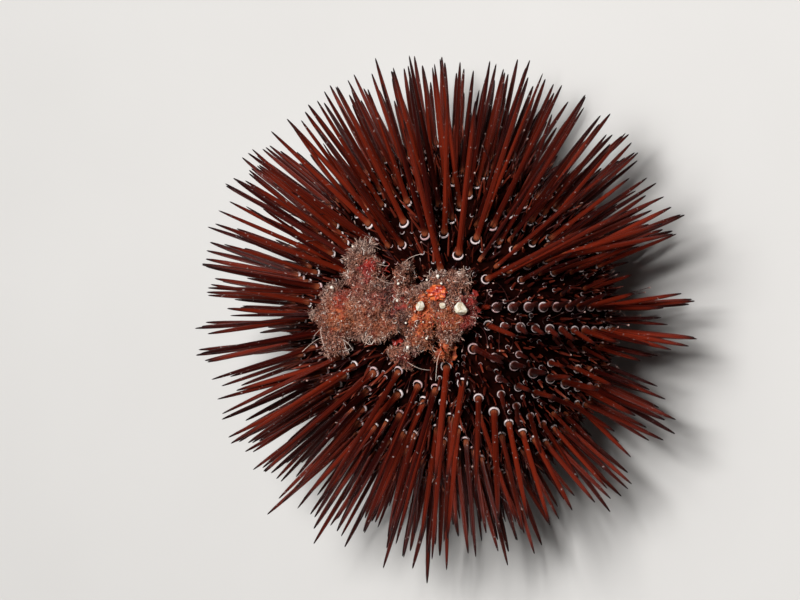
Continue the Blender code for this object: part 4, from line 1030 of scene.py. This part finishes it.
def disc_top():
    """A dome on the shell's profile, lowered in the grooves between plates and in the pores. The
    plates are the regions nearest to seeds, and the groove is where the two nearest distances
    are alike."""
    turns = np.radians(np.arange(AREAS) * AREA_TURN + WHOLE_TURN)
    rings = ((0.0031, turns + np.pi / AREAS), (0.0043, turns), (0.0012, turns + 0.3), (0.0008, turns[:3]))
    seeds = np.concatenate([radius * np.stack([np.cos(a), np.sin(a)], 1) for radius, a in rings])
    pull = np.repeat((0.0006, 0.0, 0.0, 0.0), [len(a) for _, a in rings])
    rim = math.degrees(math.acos((DISC_RADIUS - 0.0001) / TEST_RADIUS))
    latitude, azimuth = np.linspace(rim, DISC_TOP, DISC_RINGS), np.arange(DISC_SIDES) * 360.0 / DISC_SIDES
    surface, normals = on_test(latitude[:, None], azimuth[None])
    far = np.linalg.norm(surface[..., None, :2] - seeds, axis=-1) - pull
    near = np.sort(far, axis=-1)
    groove = 1.0 - smooth(near[..., 1] - near[..., 0], 0.0, GROOVE_WIDTH)
    to_pore = np.linalg.norm(surface[..., None, :2] - seeds[:AREAS] * 1.22, axis=-1).min(-1)
    lowered = np.maximum(groove, 1.0 - smooth(to_pore, *PORE_RADII))
    height = 0.00002 * waves(surface, 0.0005, 91) - SKIN_DEPTH - GROOVE_DEPTH * lowered
    surface = surface + normals * height[..., None]
    seat = at_level(surface[0], surface[0, 0, 2] - DISC_DEPTH + SEAT_LIFT)
    depth = np.concatenate([np.ones(DISC_SIDES), groove.reshape(-1), [1.0, 0.0]])
    return *closed(np.concatenate([seat[None], surface])), depth


disc_finish, start = new_finish("apical_plates", roughness=0.5, specular_ior_level=0.2)
body = grain(start, 900.0, 4.0).between(0.3, 0.7).blend((0.030, 0.0045, 0.0050), (0.095, 0.0190, 0.0170))
dress(start, bump=grain(start, 4000.0), bump_depth=0.00004,
      base_color=mark(start, "groove").blend(body, (0.010, 0.0025, 0.0025)))
points, faces, groove = disc_top()
disc = new_piece("apical_plates", points, faces, disc_finish, "apical_disc", groove=groove)
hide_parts("apical_disc")


# The mouth
# Underneath, a soft skin with small plates closes the opening of the shell. In its middle a
# thick lip surrounds the points of five hard teeth, which meet like the jaws of a grab.
LIP_RADII = (0.0, 0.0018, 0.0026, 0.0038, 0.0060, 0.0080)
LIP_LEVELS = (-0.0002, -0.0009, -0.0011, -0.0003, 0.0002, 0.0001)
RIM_TO_MIDDLE = (0.00835, 0.0003)
MOUTH_RINGS = 90
MOUTH_SIDES = 200
TOOTH_RINGS = 9
TOOTH_SIDES = 12
TOOTH_SHARES = (0.0, 0.25, 1.0)
TOOTH_RADII = (0.00006, 0.00034, 0.00058)
TOOTH_TIP_OUT = 0.00055
TOOTH_SPREAD = 0.0011
TOOTH_DROP = 0.0021
TOOTH_LENGTH = 0.0030


def mouth_skin(edge):
    """The membrane as rings from its upper seat round its rim and in to the middle: the lip's
    profile, moved by ring folds sin(k r), by radial creases near the lip and by small plates."""
    radius = np.linspace(*RIM_TO_MIDDLE, MOUTH_RINGS)[:, None]
    azimuth = np.radians(np.arange(MOUTH_SIDES) * 360.0 / MOUTH_SIDES)
    level = edge + np.interp(radius, LIP_RADII, LIP_LEVELS)
    east, north = radius * np.cos(azimuth), radius * np.sin(azimuth)
    points = np.stack(np.broadcast_arrays(east, north, level), axis=-1)
    crease = np.exp(-((radius - 0.0024) / 0.0010) ** 2) * np.sin(25.0 * azimuth + 2000.0 * radius)
    plates = waves(points, 0.0007, 95) * smooth(radius, 0.0030, 0.0045)
    folds = np.sin(2 * np.pi * radius / 0.0009) * smooth(radius, 0.0028, 0.0050)
    points[..., 2] -= 0.00007 * crease + 0.00005 * plates + 0.00003 * folds - 0.00012
    seat = at_level(points[0], edge + MOUTH_DEPTH - SEAT_LIFT)
    return closed(np.concatenate([seat[None], points])[::-1])


edge = float(test_profile(np.array(mouth_latitude()))[1])
mouth_finish, start = new_finish("mouth_skin", roughness=0.40, specular_ior_level=0.4)
body = grain(start, 700.0, 4.0).between(0.35, 0.7).blend((0.085, 0.022, 0.018), (0.240, 0.095, 0.070))
dress(start, bump=grain(start, 2600.0), bump_depth=0.00008, base_color=body)
membrane = new_piece("mouth_skin", *mouth_skin(edge), mouth_finish, "mouth")
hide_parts("mouth")
tooth_finish, start = new_finish("teeth", roughness=0.28)
dress(start, bump=grain(start, 3000.0), bump_depth=0.00002,
      base_color=tube_share(start, "Y").blend((0.88, 0.85, 0.76), (0.62, 0.50, 0.36)))
turns = np.radians((np.arange(AREAS) + 0.5) * AREA_TURN + WHOLE_TURN)
out = np.stack([np.cos(turns), np.sin(turns), 0 * turns], axis=1)[:, None]
rise = np.linspace(0.0, 1.0, TOOTH_RINGS)[None, :, None]
lines = (TOOTH_TIP_OUT + TOOTH_SPREAD * rise ** 1.6) * out
lines = lines + (edge - TOOTH_DROP) * UP + rise * TOOTH_LENGTH * UP
radii = np.interp(np.linspace(0, 1, TOOTH_RINGS), TOOTH_SHARES, TOOTH_RADII)
teeth = tubes(lines, np.broadcast_to(radii, (AREAS, TOOTH_RINGS)), TOOTH_SIDES)
new_piece("teeth", *teeth, tooth_finish, "mouth")


# The clump of alga
# The animal holds a tuft of branching red alga over itself with its tube feet. It is a few soft
# lobes grown together, matted inside and covered by short curly filaments, dark at the foot and
# pale at the tip. Some patches are crimson or orange; the gaps between the lobes have painted shade.
VOXEL = 0.00028
SHEET_CELLS = 3
CELL_INSET = 0.03
CELL_SIZE = 0.92
LOBE_RINGS = 26
LOBE_SIDES = 40
LOBE_POLE = 80.0
CORE_HALVES = LOBE_HALVES - np.array([0.0013, 0.0013, 0.0007])
LEAST_LIFT = 0.0007
FILAMENTS_PER_PIECE = 6200
FILAMENT_PIECES = 4
FILAMENT_SIDES = 3
FILAMENT_SHARES = np.linspace(0.0, 1.0, 5)
FILAMENT_LENGTHS = (0.00030, 0.00080)
FILAMENT_RADII = (0.00004, 0.00007)
FILAMENT_TAPER = np.linspace(1.15, 0.7, 5)
FILAMENT_TURNS = (2.0, 5.0)
FILAMENT_CURLS = (0.12, 0.30)
FILAMENT_SCATTER = 0.55
ROOT_SCATTER = 0.00012
RIM_GROWTH = 1.3
LEFT_RIM = (-0.0132, -0.0108)
# Spots of colour: place east and north, radius, strength
CRIMSON = (
    (-0.0041, 0.0071, 0.0013, 1.0), (-0.0040, 0.0055, 0.0011, 0.9), (-0.0088, 0.0021, 0.0018, 0.65),
    (0.0008, 0.0036, 0.0013, 0.9), (0.0019, 0.0010, 0.0013, 0.8), (0.0124, 0.0020, 0.0014, 1.0),
    (0.0118, -0.0006, 0.0016, 0.85), (0.0112, -0.0040, 0.0009, 1.0), (-0.0060, 0.0040, 0.0016, 0.35),
    (-0.0018, 0.0024, 0.0018, 0.45), (0.0020, -0.0064, 0.0012, 0.5))
ORANGE = ((0.0058, 0.0010, 0.0023, 1.0), (0.0058, -0.0012, 0.0020, 0.9), (0.0092, -0.0010, 0.0022, 0.75),
          (0.0050, -0.0042, 0.0018, 0.7), (0.0085, -0.0058, 0.0022, 0.95), (-0.0084, 0.0002, 0.0030, 0.8),
          (-0.0050, -0.0006, 0.0026, 0.45), (-0.0010, -0.0022, 0.0026, 0.4))
# Painted shade: spots in the recesses between the lobes where the core and filaments are darkened, same
# columns
SHADED = ((-0.0014, 0.0040, 0.0014, 0.7), (-0.0002, 0.0022, 0.0014, 0.8), (0.0012, 0.0002, 0.0013, 0.9),
          (0.0026, -0.0012, 0.0012, 0.9), (0.0036, -0.0024, 0.0008, 0.7), (0.0112, 0.0004, 0.0012, 0.7),
          (0.0078, 0.0034, 0.0010, 0.6), (-0.0072, -0.0040, 0.0010, 0.5))


def ball_ways(rings, sides, pole):
    """Unit vectors in rings of one latitude each, from minus the pole's to the pole's in degrees,
    and then straight down and straight up."""
    lift = np.linspace(-pole, pole, rings)[:, None]
    ways = turned(np.arange(sides)[None] * 360.0 / sides, 90.0 - lift)
    return np.concatenate([ways.reshape(-1, 3), [-UP, UP]])


def lobe_balls():
    """The lobes as balls: middle + half sizes times a unit way, moved along it by waves."""
    ways = ball_ways(LOBE_RINGS, LOBE_SIDES, LOBE_POLE)[None]
    points = LOBE_MIDDLES[:, None] + ways * CORE_HALVES[:, None]
    points = points + ways * LOBE_ROUGHNESS * 0.8 * waves(points, 0.0040, 51)[..., None]
    return points.reshape(-1, 3), ring_faces(len(LOBES), LOBE_RINGS, LOBE_SIDES)


def grown_together(points, faces):
    """One closed skin round overlapping closed shapes, as square faces of a voxel's size. Gives
    its points, their normals and its faces."""
    mesh = bpy.data.meshes.new("lobes")
    joined = faces[0].reshape(-1, 4).tolist() + faces[1].reshape(-1, 3).tolist()
    mesh.from_pydata(points.tolist(), [], joined)
    item = in_scene("lobes", mesh)
    remesh = item.modifiers.new("Grow together", "REMESH")
    remesh.mode = "VOXEL"
    remesh.voxel_size = VOXEL
    whole = item.evaluated_get(bpy.context.evaluated_depsgraph_get()).to_mesh()
    places, normals = np.empty(len(whole.vertices) * 3), np.empty(len(whole.vertices) * 3)
    whole.vertices.foreach_get("co", places)
    whole.vertices.foreach_get("normal", normals)
    quads = np.empty(len(whole.loops), dtype=np.int32)
    whole.loops.foreach_get("vertex_index", quads)
    bpy.data.objects.remove(item)
    bpy.data.meshes.remove(mesh)
    return places.reshape(-1, 3), normals.reshape(-1, 3), quads.reshape(-1, 4)


def round_lobe(points, own):
    """A point's azimuth about the middle of its own lobe, as a share of a turn, and its height
    angle, as a share of a half turn."""
    ways = unit((points - LOBE_MIDDLES[own]) / LOBE_HALVES[own])
    across = (np.degrees(np.arctan2(ways[..., 1], ways[..., 0])) % 360.0) / 360.0
    return across, 0.5 + np.degrees(np.arcsin(np.clip(ways[..., 2], -1.0, 1.0))) / 180.0


def in_cell(across, up, own):
    """The clump's own unwrap: those two shares, in the lobe's cell of a sheet of equal cells."""
    cell = np.stack([own % SHEET_CELLS, own // SHEET_CELLS], axis=-1)
    return (cell + CELL_INSET + CELL_SIZE * np.stack([across, up], axis=-1)) / SHEET_CELLS


def on_sheet(points, own):
    """Where points lie on the clump's own unwrap."""
    return in_cell(*round_lobe(points, own), own)


def stained(points, spots):
    """How much of a colour the alga has at points, 0 to 1: round spots that fade at their rims
    and are broken up by waves."""
    ragged = points + 0.0007 * waves(points, 0.0022, 61)[:, None]
    share = np.zeros(len(points))
    for east, north, radius, strength in spots:
        far = np.hypot(ragged[:, 0] - east, ragged[:, 1] - north) / radius
        share = np.maximum(share, strength * (1.0 - smooth(far, 0.55, 1.15)))
    return share


def at_rim(points, lobe):
    """How far out on its lobe a point lies, 0 to 1, seen from above and broken up by waves."""
    moved = (points - LOBE_MIDDLES[lobe])[:, :2] / LOBE_HALVES[lobe, :2]
    return np.clip(smooth(from_axis(moved), 0.45, 1.0) + 0.30 * waves(points, 0.0030, 57), 0.0, 1.0)


def clear_of_test(points):
    """Points of the clump's underside moved out along the slope of the shell to its lift."""
    lift = clump_lift(from_axis(points)) + 0.0001
    out = unit((points - TEST_CENTRE) / TEST_HALVES ** 2)
    return points + np.maximum(lift - height_over_test(points), 0.0)[:, None] * out


points, normals, quads = grown_together(*lobe_balls())
lumps = 0.00040 * waves(points, 0.0019, 52) + 0.00016 * waves(points, 0.0007, 53) - 0.0002
points = clear_of_test(points + normals * lumps[:, None])
middles = points[quads].mean(1)
own = np.linalg.norm((middles[:, None] - LOBE_MIDDLES) / LOBE_HALVES, axis=2).argmin(1)
own_by_corner = np.repeat(own[:, None], 4, axis=1)
across, up = round_lobe(points[quads], own_by_corner)
across = across + (across.max(1, keepdims=True) - across > 0.5)
sheet = in_cell(across, up, own_by_corner)
no_triangles = np.zeros((1, 0, 3), dtype=int), np.zeros((1, 0, 3, 2))
alga_finish, start = new_finish("matted_alga", roughness=0.62, specular_ior_level=0.3)
knots = grain(start, 1500.0, 4.0).between(0.3, 0.75)
body = knots.blend((0.022, 0.0050, 0.0035), (0.200, 0.062, 0.033))
body = mark(start, "orange").blend(body, knots.blend((0.230, 0.020, 0.008), (0.600, 0.150, 0.045)))
body = mark(start, "crimson").blend(body, knots.blend((0.085, 0.006, 0.006), (0.360, 0.030, 0.020)))
# Painted shade: the core turns near-black where the shade spots lie
body = mark(start, "shade").blend(body, (0.020, 0.0040, 0.0032))
dress(start, bump=grain(start, 2600.0, 4.0), bump_depth=0.00018, base_color=body)
core = new_piece("alga_core", points, (quads[None], no_triangles[0], sheet[None], no_triangles[1]),
                 alga_finish, "alga", shade=stained(points, SHADED),
                 crimson=stained(points, CRIMSON), orange=stained(points, ORANGE))
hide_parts("cover_alga")

# How thickly the filaments grow on each face of the core
square = np.cross(points[quads[:, 1]] - points[quads[:, 0]], points[quads[:, 2]] - points[quads[:, 0]])
face_normals, areas = unit(square), np.linalg.norm(square, axis=1)
off_test = height_over_test(middles) - clump_lift(from_axis(middles)) > LEAST_LIFT
bare = np.maximum(0.75 * stained(middles, CRIMSON), 0.85 * stained(middles, ORANGE[:2] + ORANGE[4:5]))
areas = areas * off_test * (1.0 - bare) * (0.25 + 0.75 * smooth(waves(middles, 0.0016, 54), -1.0, 0.3))
areas = areas * (1.0 - 0.5 * stained(middles, SHADED))
filament_finish, start = new_finish("alga_filament", roughness=0.40, specular_ior_level=0.6)
tone = mark(start, "tint")
foot = mark(start, "orange").blend((0.070, 0.014, 0.009), (0.240, 0.042, 0.013))
foot = mark(start, "crimson").blend(foot, (0.200, 0.012, 0.010))
tip = mark(start, "rim").blend((0.520, 0.200, 0.120), (0.620, 0.420, 0.330))
tip = mark(start, "orange").blend(tip, (0.620, 0.200, 0.080))
tip = mark(start, "crimson").blend(tip, (0.500, 0.085, 0.065))
tip = tone.between(0.90, 0.99).blend(tip, (0.96, 0.84, 0.75))
body = (0.7 * tube_share(start, "Y") + tone).between(0.40, 1.35).blend(foot, tip)
# The filaments darken by one mark: real mottles together with the painted shade spots
body = (0.75 * mark(start, "shade")).blend(body, (0.060, 0.0120, 0.0090))
dress(start, base_color=body)
draw = np.random.default_rng(55)
for number in range(FILAMENT_PIECES):
    chosen = draw.choice(len(middles), FILAMENTS_PER_PIECE, p=areas / areas.sum())
    lobe = own[chosen]
    roots = middles[chosen] - 0.0001 * face_normals[chosen]
    roots = roots + draw.normal(0.0, ROOT_SCATTER, roots.shape)
    way = unit(face_normals[chosen] + draw.normal(0.0, FILAMENT_SCATTER, roots.shape))
    east = unit(np.cross(way, draw.normal(size=roots.shape)))
    north = np.cross(way, east)
    length = draw.uniform(*FILAMENT_LENGTHS, len(roots)) * (0.8 + 0.25 * waves(roots, 0.003, 56))
    length = length * (1.0 + RIM_GROWTH * at_rim(roots, lobe) * draw.uniform(0.0, 1.0, len(roots)))
    length = length * (1.0 - 0.5 * (1.0 - smooth(roots[:, 0], *LEFT_RIM)))
    turns, phase = draw.uniform(*FILAMENT_TURNS, len(roots)), draw.uniform(0.0, 2 * np.pi, len(roots))
    curl = draw.uniform(*FILAMENT_CURLS, len(roots))
    angle = turns[:, None] * FILAMENT_SHARES + phase[:, None]
    path = FILAMENT_SHARES[None, :, None] * way[:, None] \
        + curl[:, None, None] * ((np.sin(angle) - np.sin(angle[:, :1]))[..., None] * east[:, None]
                                 + (np.cos(angle) - np.cos(angle[:, :1]))[..., None] * north[:, None])
    radii = draw.uniform(*FILAMENT_RADII, (len(roots), 1)) * FILAMENT_TAPER
    tone = draw.uniform(0, 1, len(roots))
    # Real darker mottles, joined below with the painted shade spots in one mark
    mottled = 0.9 * smooth(waves(roots, 0.0008, 62), 0.3, 1.3) * draw.uniform(0.3, 1.0, len(roots))
    tube_piece(f"alga_filaments_{number + 1}", roots[:, None] + length[:, None, None] * path, radii,
               FILAMENT_SIDES, filament_finish, "alga", on_sheet(roots, lobe), tint=tone,
               crimson=stained(roots, CRIMSON), orange=stained(roots, ORANGE),
               shade=np.maximum(stained(roots, SHADED), mottled), rim=at_rim(roots, lobe))


# The blades, the threads and the grit
# Among the filaments are older red blades, seen on edge along the lobes, a few long stray
# threads, and grit: crumbs of shell and beads of the orange crust that stick to the alga.
BLADE_RINGS = 16
BLADE_SIDES = 12
BLADE_HALF_THICKNESS = 0.00007
BLADE_LIFTS = (-0.0004, 0.0007)
BLADE_PATCH = 0.06
THREADS = 14
THREAD_RINGS = 14
THREAD_SIDES = 5
THREAD_RADIUS = 0.00003
THREAD_LENGTHS = (0.0016, 0.0034)
CRUMBS = 520
CRUMB_SIZES = (0.00005, 0.00014)
CRUMB_RINGS = np.array([-0.8, -0.55, 0.1, 0.6, 0.85])
CRUMB_RADII = np.array([0.45, 0.9, 1.0, 0.8, 0.35])
CRUMB_SIDES = 6
CRUMB_LIFT = 0.00035
BIT_SEARCH = 0.0005
# Blades: place east and north, length, heading in degrees, width. The fifth and the sixth are
# orange and stand up over the filaments.
BLADES = (
    (-0.0040, 0.0088, 0.0042, -82.0, 0.0012), (-0.0026, 0.0082, 0.0022, -75.0, 0.0007),
    (0.0121, 0.0036, 0.0036, -80.0, 0.0010), (0.0120, 0.0008, 0.0030, -104.0, 0.0009),
    (0.0083, -0.0040, 0.0040, -94.0, 0.0018), (0.0074, -0.0044, 0.0030, -104.0, 0.0013),
    (-0.0012, -0.0040, 0.0024, -12.0, 0.0009),
    (0.0008, 0.0036, 0.0026, -50.0, 0.0008), (-0.0072, 0.0010, 0.0030, -150.0, 0.0009),
    (0.0070, 0.0000, 0.0028, -35.0, 0.0010), (0.0042, -0.0020, 0.0026, 20.0, 0.0009),
)
ORANGE_BLADES = (4, 5)
# White crumbs in plain sight: place east and north, half size
BITS = ((-0.0105, 0.0037, 0.00034), (-0.0075, 0.0104, 0.00024), (0.0014, 0.0040, 0.00028),
        (0.0015, 0.0022, 0.00024), (0.0078, 0.0055, 0.00030), (0.0028, -0.0049, 0.00030),
        (0.0062, -0.0037, 0.00022), (0.0002, 0.0051, 0.00020), (0.0037, -0.0013, 0.00016),
        (0.0054, 0.0054, 0.00020), (0.0085, 0.0046, 0.00022), (0.0048, -0.0046, 0.00020))


def top_of_clump(east, north):
    """Height of the lobes' upper side at a place: the highest of middle + half height times
    sqrt(1 - d^2), with d the distance in half sizes. It falls off slowly outside them."""
    far = ((east[..., None] - LOBE_MIDDLES[:, 0]) / CORE_HALVES[:, 0]) ** 2 \
        + ((north[..., None] - LOBE_MIDDLES[:, 1]) / CORE_HALVES[:, 1]) ** 2
    rise = CORE_HALVES[:, 2] * np.sqrt(np.maximum(1.0 - far, 0.0))
    return (LOBE_MIDDLES[:, 2] + rise - 0.0012 * np.maximum(far - 1.0, 0.0)).max(-1)


def blade(east, north, length, heading, width, lift, draw):
    """Points of a flat tube that lies along the top of the clump, lifted off it. With s the share
    of its length, it sways by a sine of s, tilts by another, and its half width goes with
    sqrt(1.02 - (2 s - 1)^4), ruffled by a sine of s and of the turn round it."""
    s, turn = np.linspace(0.0, 1.0, BLADE_RINGS), 2 * np.pi * np.arange(BLADE_SIDES) / BLADE_SIDES
    way = np.array([math.cos(math.radians(heading)), math.sin(math.radians(heading))])
    sway = 0.00030 * np.sin(9.0 * s + draw.uniform(0, 6.3))[:, None] * way[::-1] * [-1.0, 1.0]
    place = np.array([east, north]) + s[:, None] * length * way + sway
    line = np.concatenate([place, (top_of_clump(*place.T) + lift)[:, None]], axis=1)
    tilt = draw.uniform(0.5, 1.1) * draw.choice([-1.0, 1.0]) + 0.35 * np.sin(7.0 * s)
    across = np.cos(tilt)[:, None] * np.array([-way[1], way[0], 0.0]) + np.sin(tilt)[:, None] * UP
    through = np.cross(across, [*way, 0.0])
    wide = 0.5 * width * np.sqrt(np.clip(1.02 - (2.0 * s - 1.0) ** 4, 0.0, 1.0))
    ruffle = 1.0 + 0.35 * np.sin(31.0 * s[:, None] + turn)
    ring = np.cos(turn)[None, :, None] * (wide[:, None] * ruffle)[..., None] * across[:, None] \
        + np.sin(turn)[None, :, None] * BLADE_HALF_THICKNESS * through[:, None]
    return np.concatenate([(line[:, None] + ring).reshape(-1, 3), line[:1], line[-1:]])


blade_finish, start = new_finish("red_blade", roughness=0.25, specular_ior_level=0.6)
streaks = grain(start, 1300.0, 4.0).between(0.3, 0.75)
body = streaks.blend((0.130, 0.006, 0.006), (0.500, 0.050, 0.030))
body = mark(start, "orange").blend(body, streaks.blend((0.300, 0.030, 0.010), (0.640, 0.130, 0.040)))
dress(start, bump=streaks, bump_depth=0.00010, base_color=body)
draw = np.random.default_rng(61)
is_orange = np.isin(np.arange(len(BLADES)), ORANGE_BLADES)
points = [blade(*row, BLADE_LIFTS[int(raised)], draw) for row, raised in zip(BLADES, is_orange)]
blade_size = len(BLADES), BLADE_RINGS, BLADE_SIDES
corners = np.array([[0.02, 0.02 + 0.09 * n] for n in range(len(BLADES))])
new_piece("alga_blades", np.concatenate(points), ring_faces(*blade_size), blade_finish, "alga", corners,
          BLADE_PATCH, orange=tube_mark(1.0 * is_orange, *blade_size))
lobe = draw.integers(0, len(LOBES), THREADS)
spin = draw.uniform(0, 360.0, THREADS)
ways = turned(spin, draw.uniform(20.0, 80.0, THREADS))
roots = LOBE_MIDDLES[lobe] + 0.95 * ways * CORE_HALVES[lobe]
ways = unit(ways + draw.normal(0, 0.5, ways.shape))
lines = bent_lines(roots, ways, draw.uniform(*THREAD_LENGTHS, THREADS),
                   np.linspace(0.0, 1.0, THREAD_RINGS), draw.uniform(0.6, 1.3, THREADS), draw)
free = height_over_test(lines).min(1) > LEAST_HEIGHT
tube_piece("alga_threads", lines[free], np.full((free.sum(), THREAD_RINGS), THREAD_RADIUS),
           THREAD_SIDES, filament_finish, "alga", on_sheet(roots, lobe)[free],
           tint=0.95, crimson=0.0, orange=0.0, shade=0.0, rim=1.0)
near_crust = stained(middles, ORANGE[:2])
crumbly = np.maximum(areas, areas.max() * 3.0 * near_crust * off_test)
chosen = draw.choice(len(middles), CRUMBS, p=crumbly / crumbly.sum())
size = draw.uniform(*CRUMB_SIZES, CRUMBS)
for number, (east, north, half) in enumerate(BITS):
    far = np.hypot(middles[:, 0] - east, middles[:, 1] - north)
    chosen[number] = np.where(far < BIT_SEARCH, middles[:, 2], -far).argmax()
    size[number] = half
spots = middles[chosen] + (CRUMB_LIFT + 0.6 * size)[:, None] * face_normals[chosen]
flat = unit(draw.normal(size=(CRUMBS, 3)))
line = spots[:, None] + flat[:, None] * (CRUMB_RINGS[None, :, None] * size[:, None, None])
radii = size[:, None] * draw.uniform(0.6, 1.15, (CRUMBS, len(CRUMB_RINGS))) * CRUMB_RADII
white = np.arange(CRUMBS) < len(BITS)
crumb_finish, start = new_finish("grit", roughness=0.35)
orange = mark(start, "tint").between(0.2, 0.8).blend((0.42, 0.022, 0.012), (0.72, 0.200, 0.060))
plain = mark(start, "tint").between(0.3, 1.0).blend((0.52, 0.260, 0.170), (0.86, 0.800, 0.700))
dress(start, bump=grain(start, 6000.0), bump_depth=0.00003,
      base_color=mark(start, "orange").blend(plain, orange))
is_bead = (stained(spots, ORANGE[:2]) > 0.3) & ~white & (draw.uniform(0, 1, CRUMBS) < 0.85)
tube_piece("grit", line, radii, CRUMB_SIDES, crumb_finish, "shell", on_sheet(spots, own[chosen]),
           orange=1.0 * is_bead, tint=np.where(white, 1.0, draw.uniform(0, 1, CRUMBS)))


# The crust and the shells
# Caught in the alga are a knob of orange-red crust, grown in beads, and three worn bits of
# shell, cream to white, broken off flat on several sides.
CRUST_BALL = (44, 64)
CHIP_BALL = (40, 56)
BALL_POLE = 84.0
BEADS = 90
BEAD_WIDTH = 0.26
CHIP_WEAR = 30


def bead_crust():
    """Sizes of a ball along its ways, and the angle to the nearest of a set of seeded beads. The
    size is that bead's own height, a round top sqrt(1 - (angle / width)^2) and waves."""
    ways = ball_ways(*CRUST_BALL, BALL_POLE)
    draw = np.random.default_rng(71)
    beads, height = unit(draw.normal(size=(BEADS, 3))), draw.uniform(0.62, 0.90, BEADS)
    apart = np.arccos(np.clip(ways @ beads.T, -1, 1))
    near = apart.min(1)
    size = height[apart.argmin(1)] + 0.16 * np.sqrt(np.clip(1.0 - (near / BEAD_WIDTH) ** 2, 0.0, 1.0))
    return np.minimum(size + 0.10 * waves(ways, 0.7, 72), 1.03), near


def shell_chip(seed, sides):
    """Sizes of a chip along the ways of a ball: each way ends at the nearest of a set of seeded
    planes, 1 over the way's share of the plane's normal, with the corners worn round."""
    ways = ball_ways(*CHIP_BALL, BALL_POLE)
    draw = np.random.default_rng(seed)
    planes = unit(draw.normal(size=(sides, 3)))
    closeness = (np.maximum(ways @ planes.T, 0.0) / draw.uniform(0.50, 0.95, sides)) ** CHIP_WEAR
    worn = (closeness.sum(1) + 0.98 ** -CHIP_WEAR) ** (-1 / CHIP_WEAR)
    return np.minimum(worn, 1.0) + 0.018 * waves(ways, 0.3, seed)


def in_box_of(node, size, ball):
    """A ball's ways times their sizes, from the middle of a node's box and in its half sizes."""
    low, high = (np.array(corner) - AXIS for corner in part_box(node))
    return (low + high) / 2 + ball_ways(*ball, BALL_POLE) * size[:, None] * (high - low) / 2


crust_finish, start = new_finish("orange_crust", roughness=0.30)
valley = mark(start, "valley").between(0.12, 0.26)
body = grain(start, 1200.0, 4.0).between(0.40, 0.65).blend((0.56, 0.055, 0.014), (0.74, 0.190, 0.050))
dress(start, bump=grain(start, 5200.0), bump_depth=0.00004,
      base_color=valley.blend(body, (0.290, 0.020, 0.010)))
size, near = bead_crust()
crust = new_piece("orange_crust", in_box_of("cover_crust", size, CRUST_BALL), ring_faces(1, *CRUST_BALL),
                  crust_finish, "crust", valley=near)
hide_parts("cover_crust")
shell_finish, start = new_finish("worn_shell", roughness=0.42)
layers = grain(start, 2100.0, 5.0).between(0.3, 0.75)
dress(start, bump=layers, bump_depth=0.00007,
      base_color=layers.blend((0.56, 0.46, 0.30), (0.88, 0.85, 0.76)))
for number, (seed, sides) in enumerate(((81, 11), (82, 16), (83, 9))):
    points = in_box_of(f"cover_shell_{number + 1}", shell_chip(seed, sides), CHIP_BALL)
    chip = new_piece(f"shell_chip_{number + 1}", points, ring_faces(1, *CHIP_BALL), shell_finish, "shell")
    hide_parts(f"cover_shell_{number + 1}")


# The studio
# A plain pale floor. The camera looks down at the photo's angle, rolled a quarter. The key light
# is close beside it, small enough for crisp shadows, with two weak wide ones overhead and on the
# far side, and a faint even light all round.
PHOTO_SIZE = (800, 600)
AXIS_PIXEL = (453.31, 313.51)
PIXELS_PER_METRE = 6570.0
CAMERA_DISTANCE = 0.90
KEY_DISTANCE = 0.60
FLOOR_HALF = 1.5
ROOM_STRENGTH = 0.045

floor_mesh = bpy.data.meshes.new("floor")
ends = [(FLOOR_HALF * x, FLOOR_HALF * y, 0.0) for x, y in ((-1, -1), (1, -1), (1, 1), (-1, 1))]
floor_mesh.from_pydata(ends, [], [(0, 1, 2, 3)])
floor_finish, start = new_finish("pale_floor", roughness=0.7)
dress(start, base_color=grain(start, 30.0).blend((0.60, 0.585, 0.565), (0.64, 0.625, 0.605)))
floor_mesh.materials.append(floor_finish)
in_scene("floor", floor_mesh)


def facing(place, aim, up):
    """A matrix that puts a camera or light at a place, looking at its aim, with up upwards."""
    back = unit(place - aim)
    right = unit(np.cross(up, back))
    columns = [right, np.cross(back, right), back, place]
    return Matrix([[*row, 0.0] for row in columns[:3]] + [[*columns[3], 1.0]]).transposed()


offset = ((PHOTO_SIZE[0] / 2 - AXIS_PIXEL[0]) / PIXELS_PER_METRE,
          (AXIS_PIXEL[1] - PHOTO_SIZE[1] / 2) / PIXELS_PER_METRE)
target = AXIS + TEST_CENTRE + offset[0] * RIGHT + offset[1] * NORTH
camera = in_scene("camera", bpy.data.cameras.new("camera"))
camera.matrix_world = facing(target + CAMERA_DISTANCE * SIGHT, target, NORTH)
camera.data.lens = camera.data.sensor_width * CAMERA_DISTANCE * PIXELS_PER_METRE / PHOTO_SIZE[0]
bpy.context.scene.camera = camera
key_way = unit(SIGHT + 0.22 * NORTH - 0.36 * RIGHT)
for name, place, size, power in (("key", KEY_DISTANCE * key_way, 0.16, 4.3),
                                 ("overhead", np.array([-0.10, 0.15, 0.60]), 0.45, 0.7),
                                 ("far_side", np.array([-0.50, -0.10, 0.28]), 0.35, 0.20)):
    light = in_scene(name, bpy.data.lights.new(name, "AREA"))
    light.data.size = size
    light.data.energy = power
    light.matrix_world = facing(target + place, target, np.array([0.0, 1.0, 0.2]))
world = bpy.data.worlds.new("soft_room")
world.use_nodes = True
world.node_tree.nodes["Background"].inputs["Color"].default_value = (1.0, 0.99, 0.97, 1.0)
world.node_tree.nodes["Background"].inputs["Strength"].default_value = ROOM_STRENGTH
bpy.context.scene.world = world
bpy.context.scene.view_settings.view_transform = "Standard"
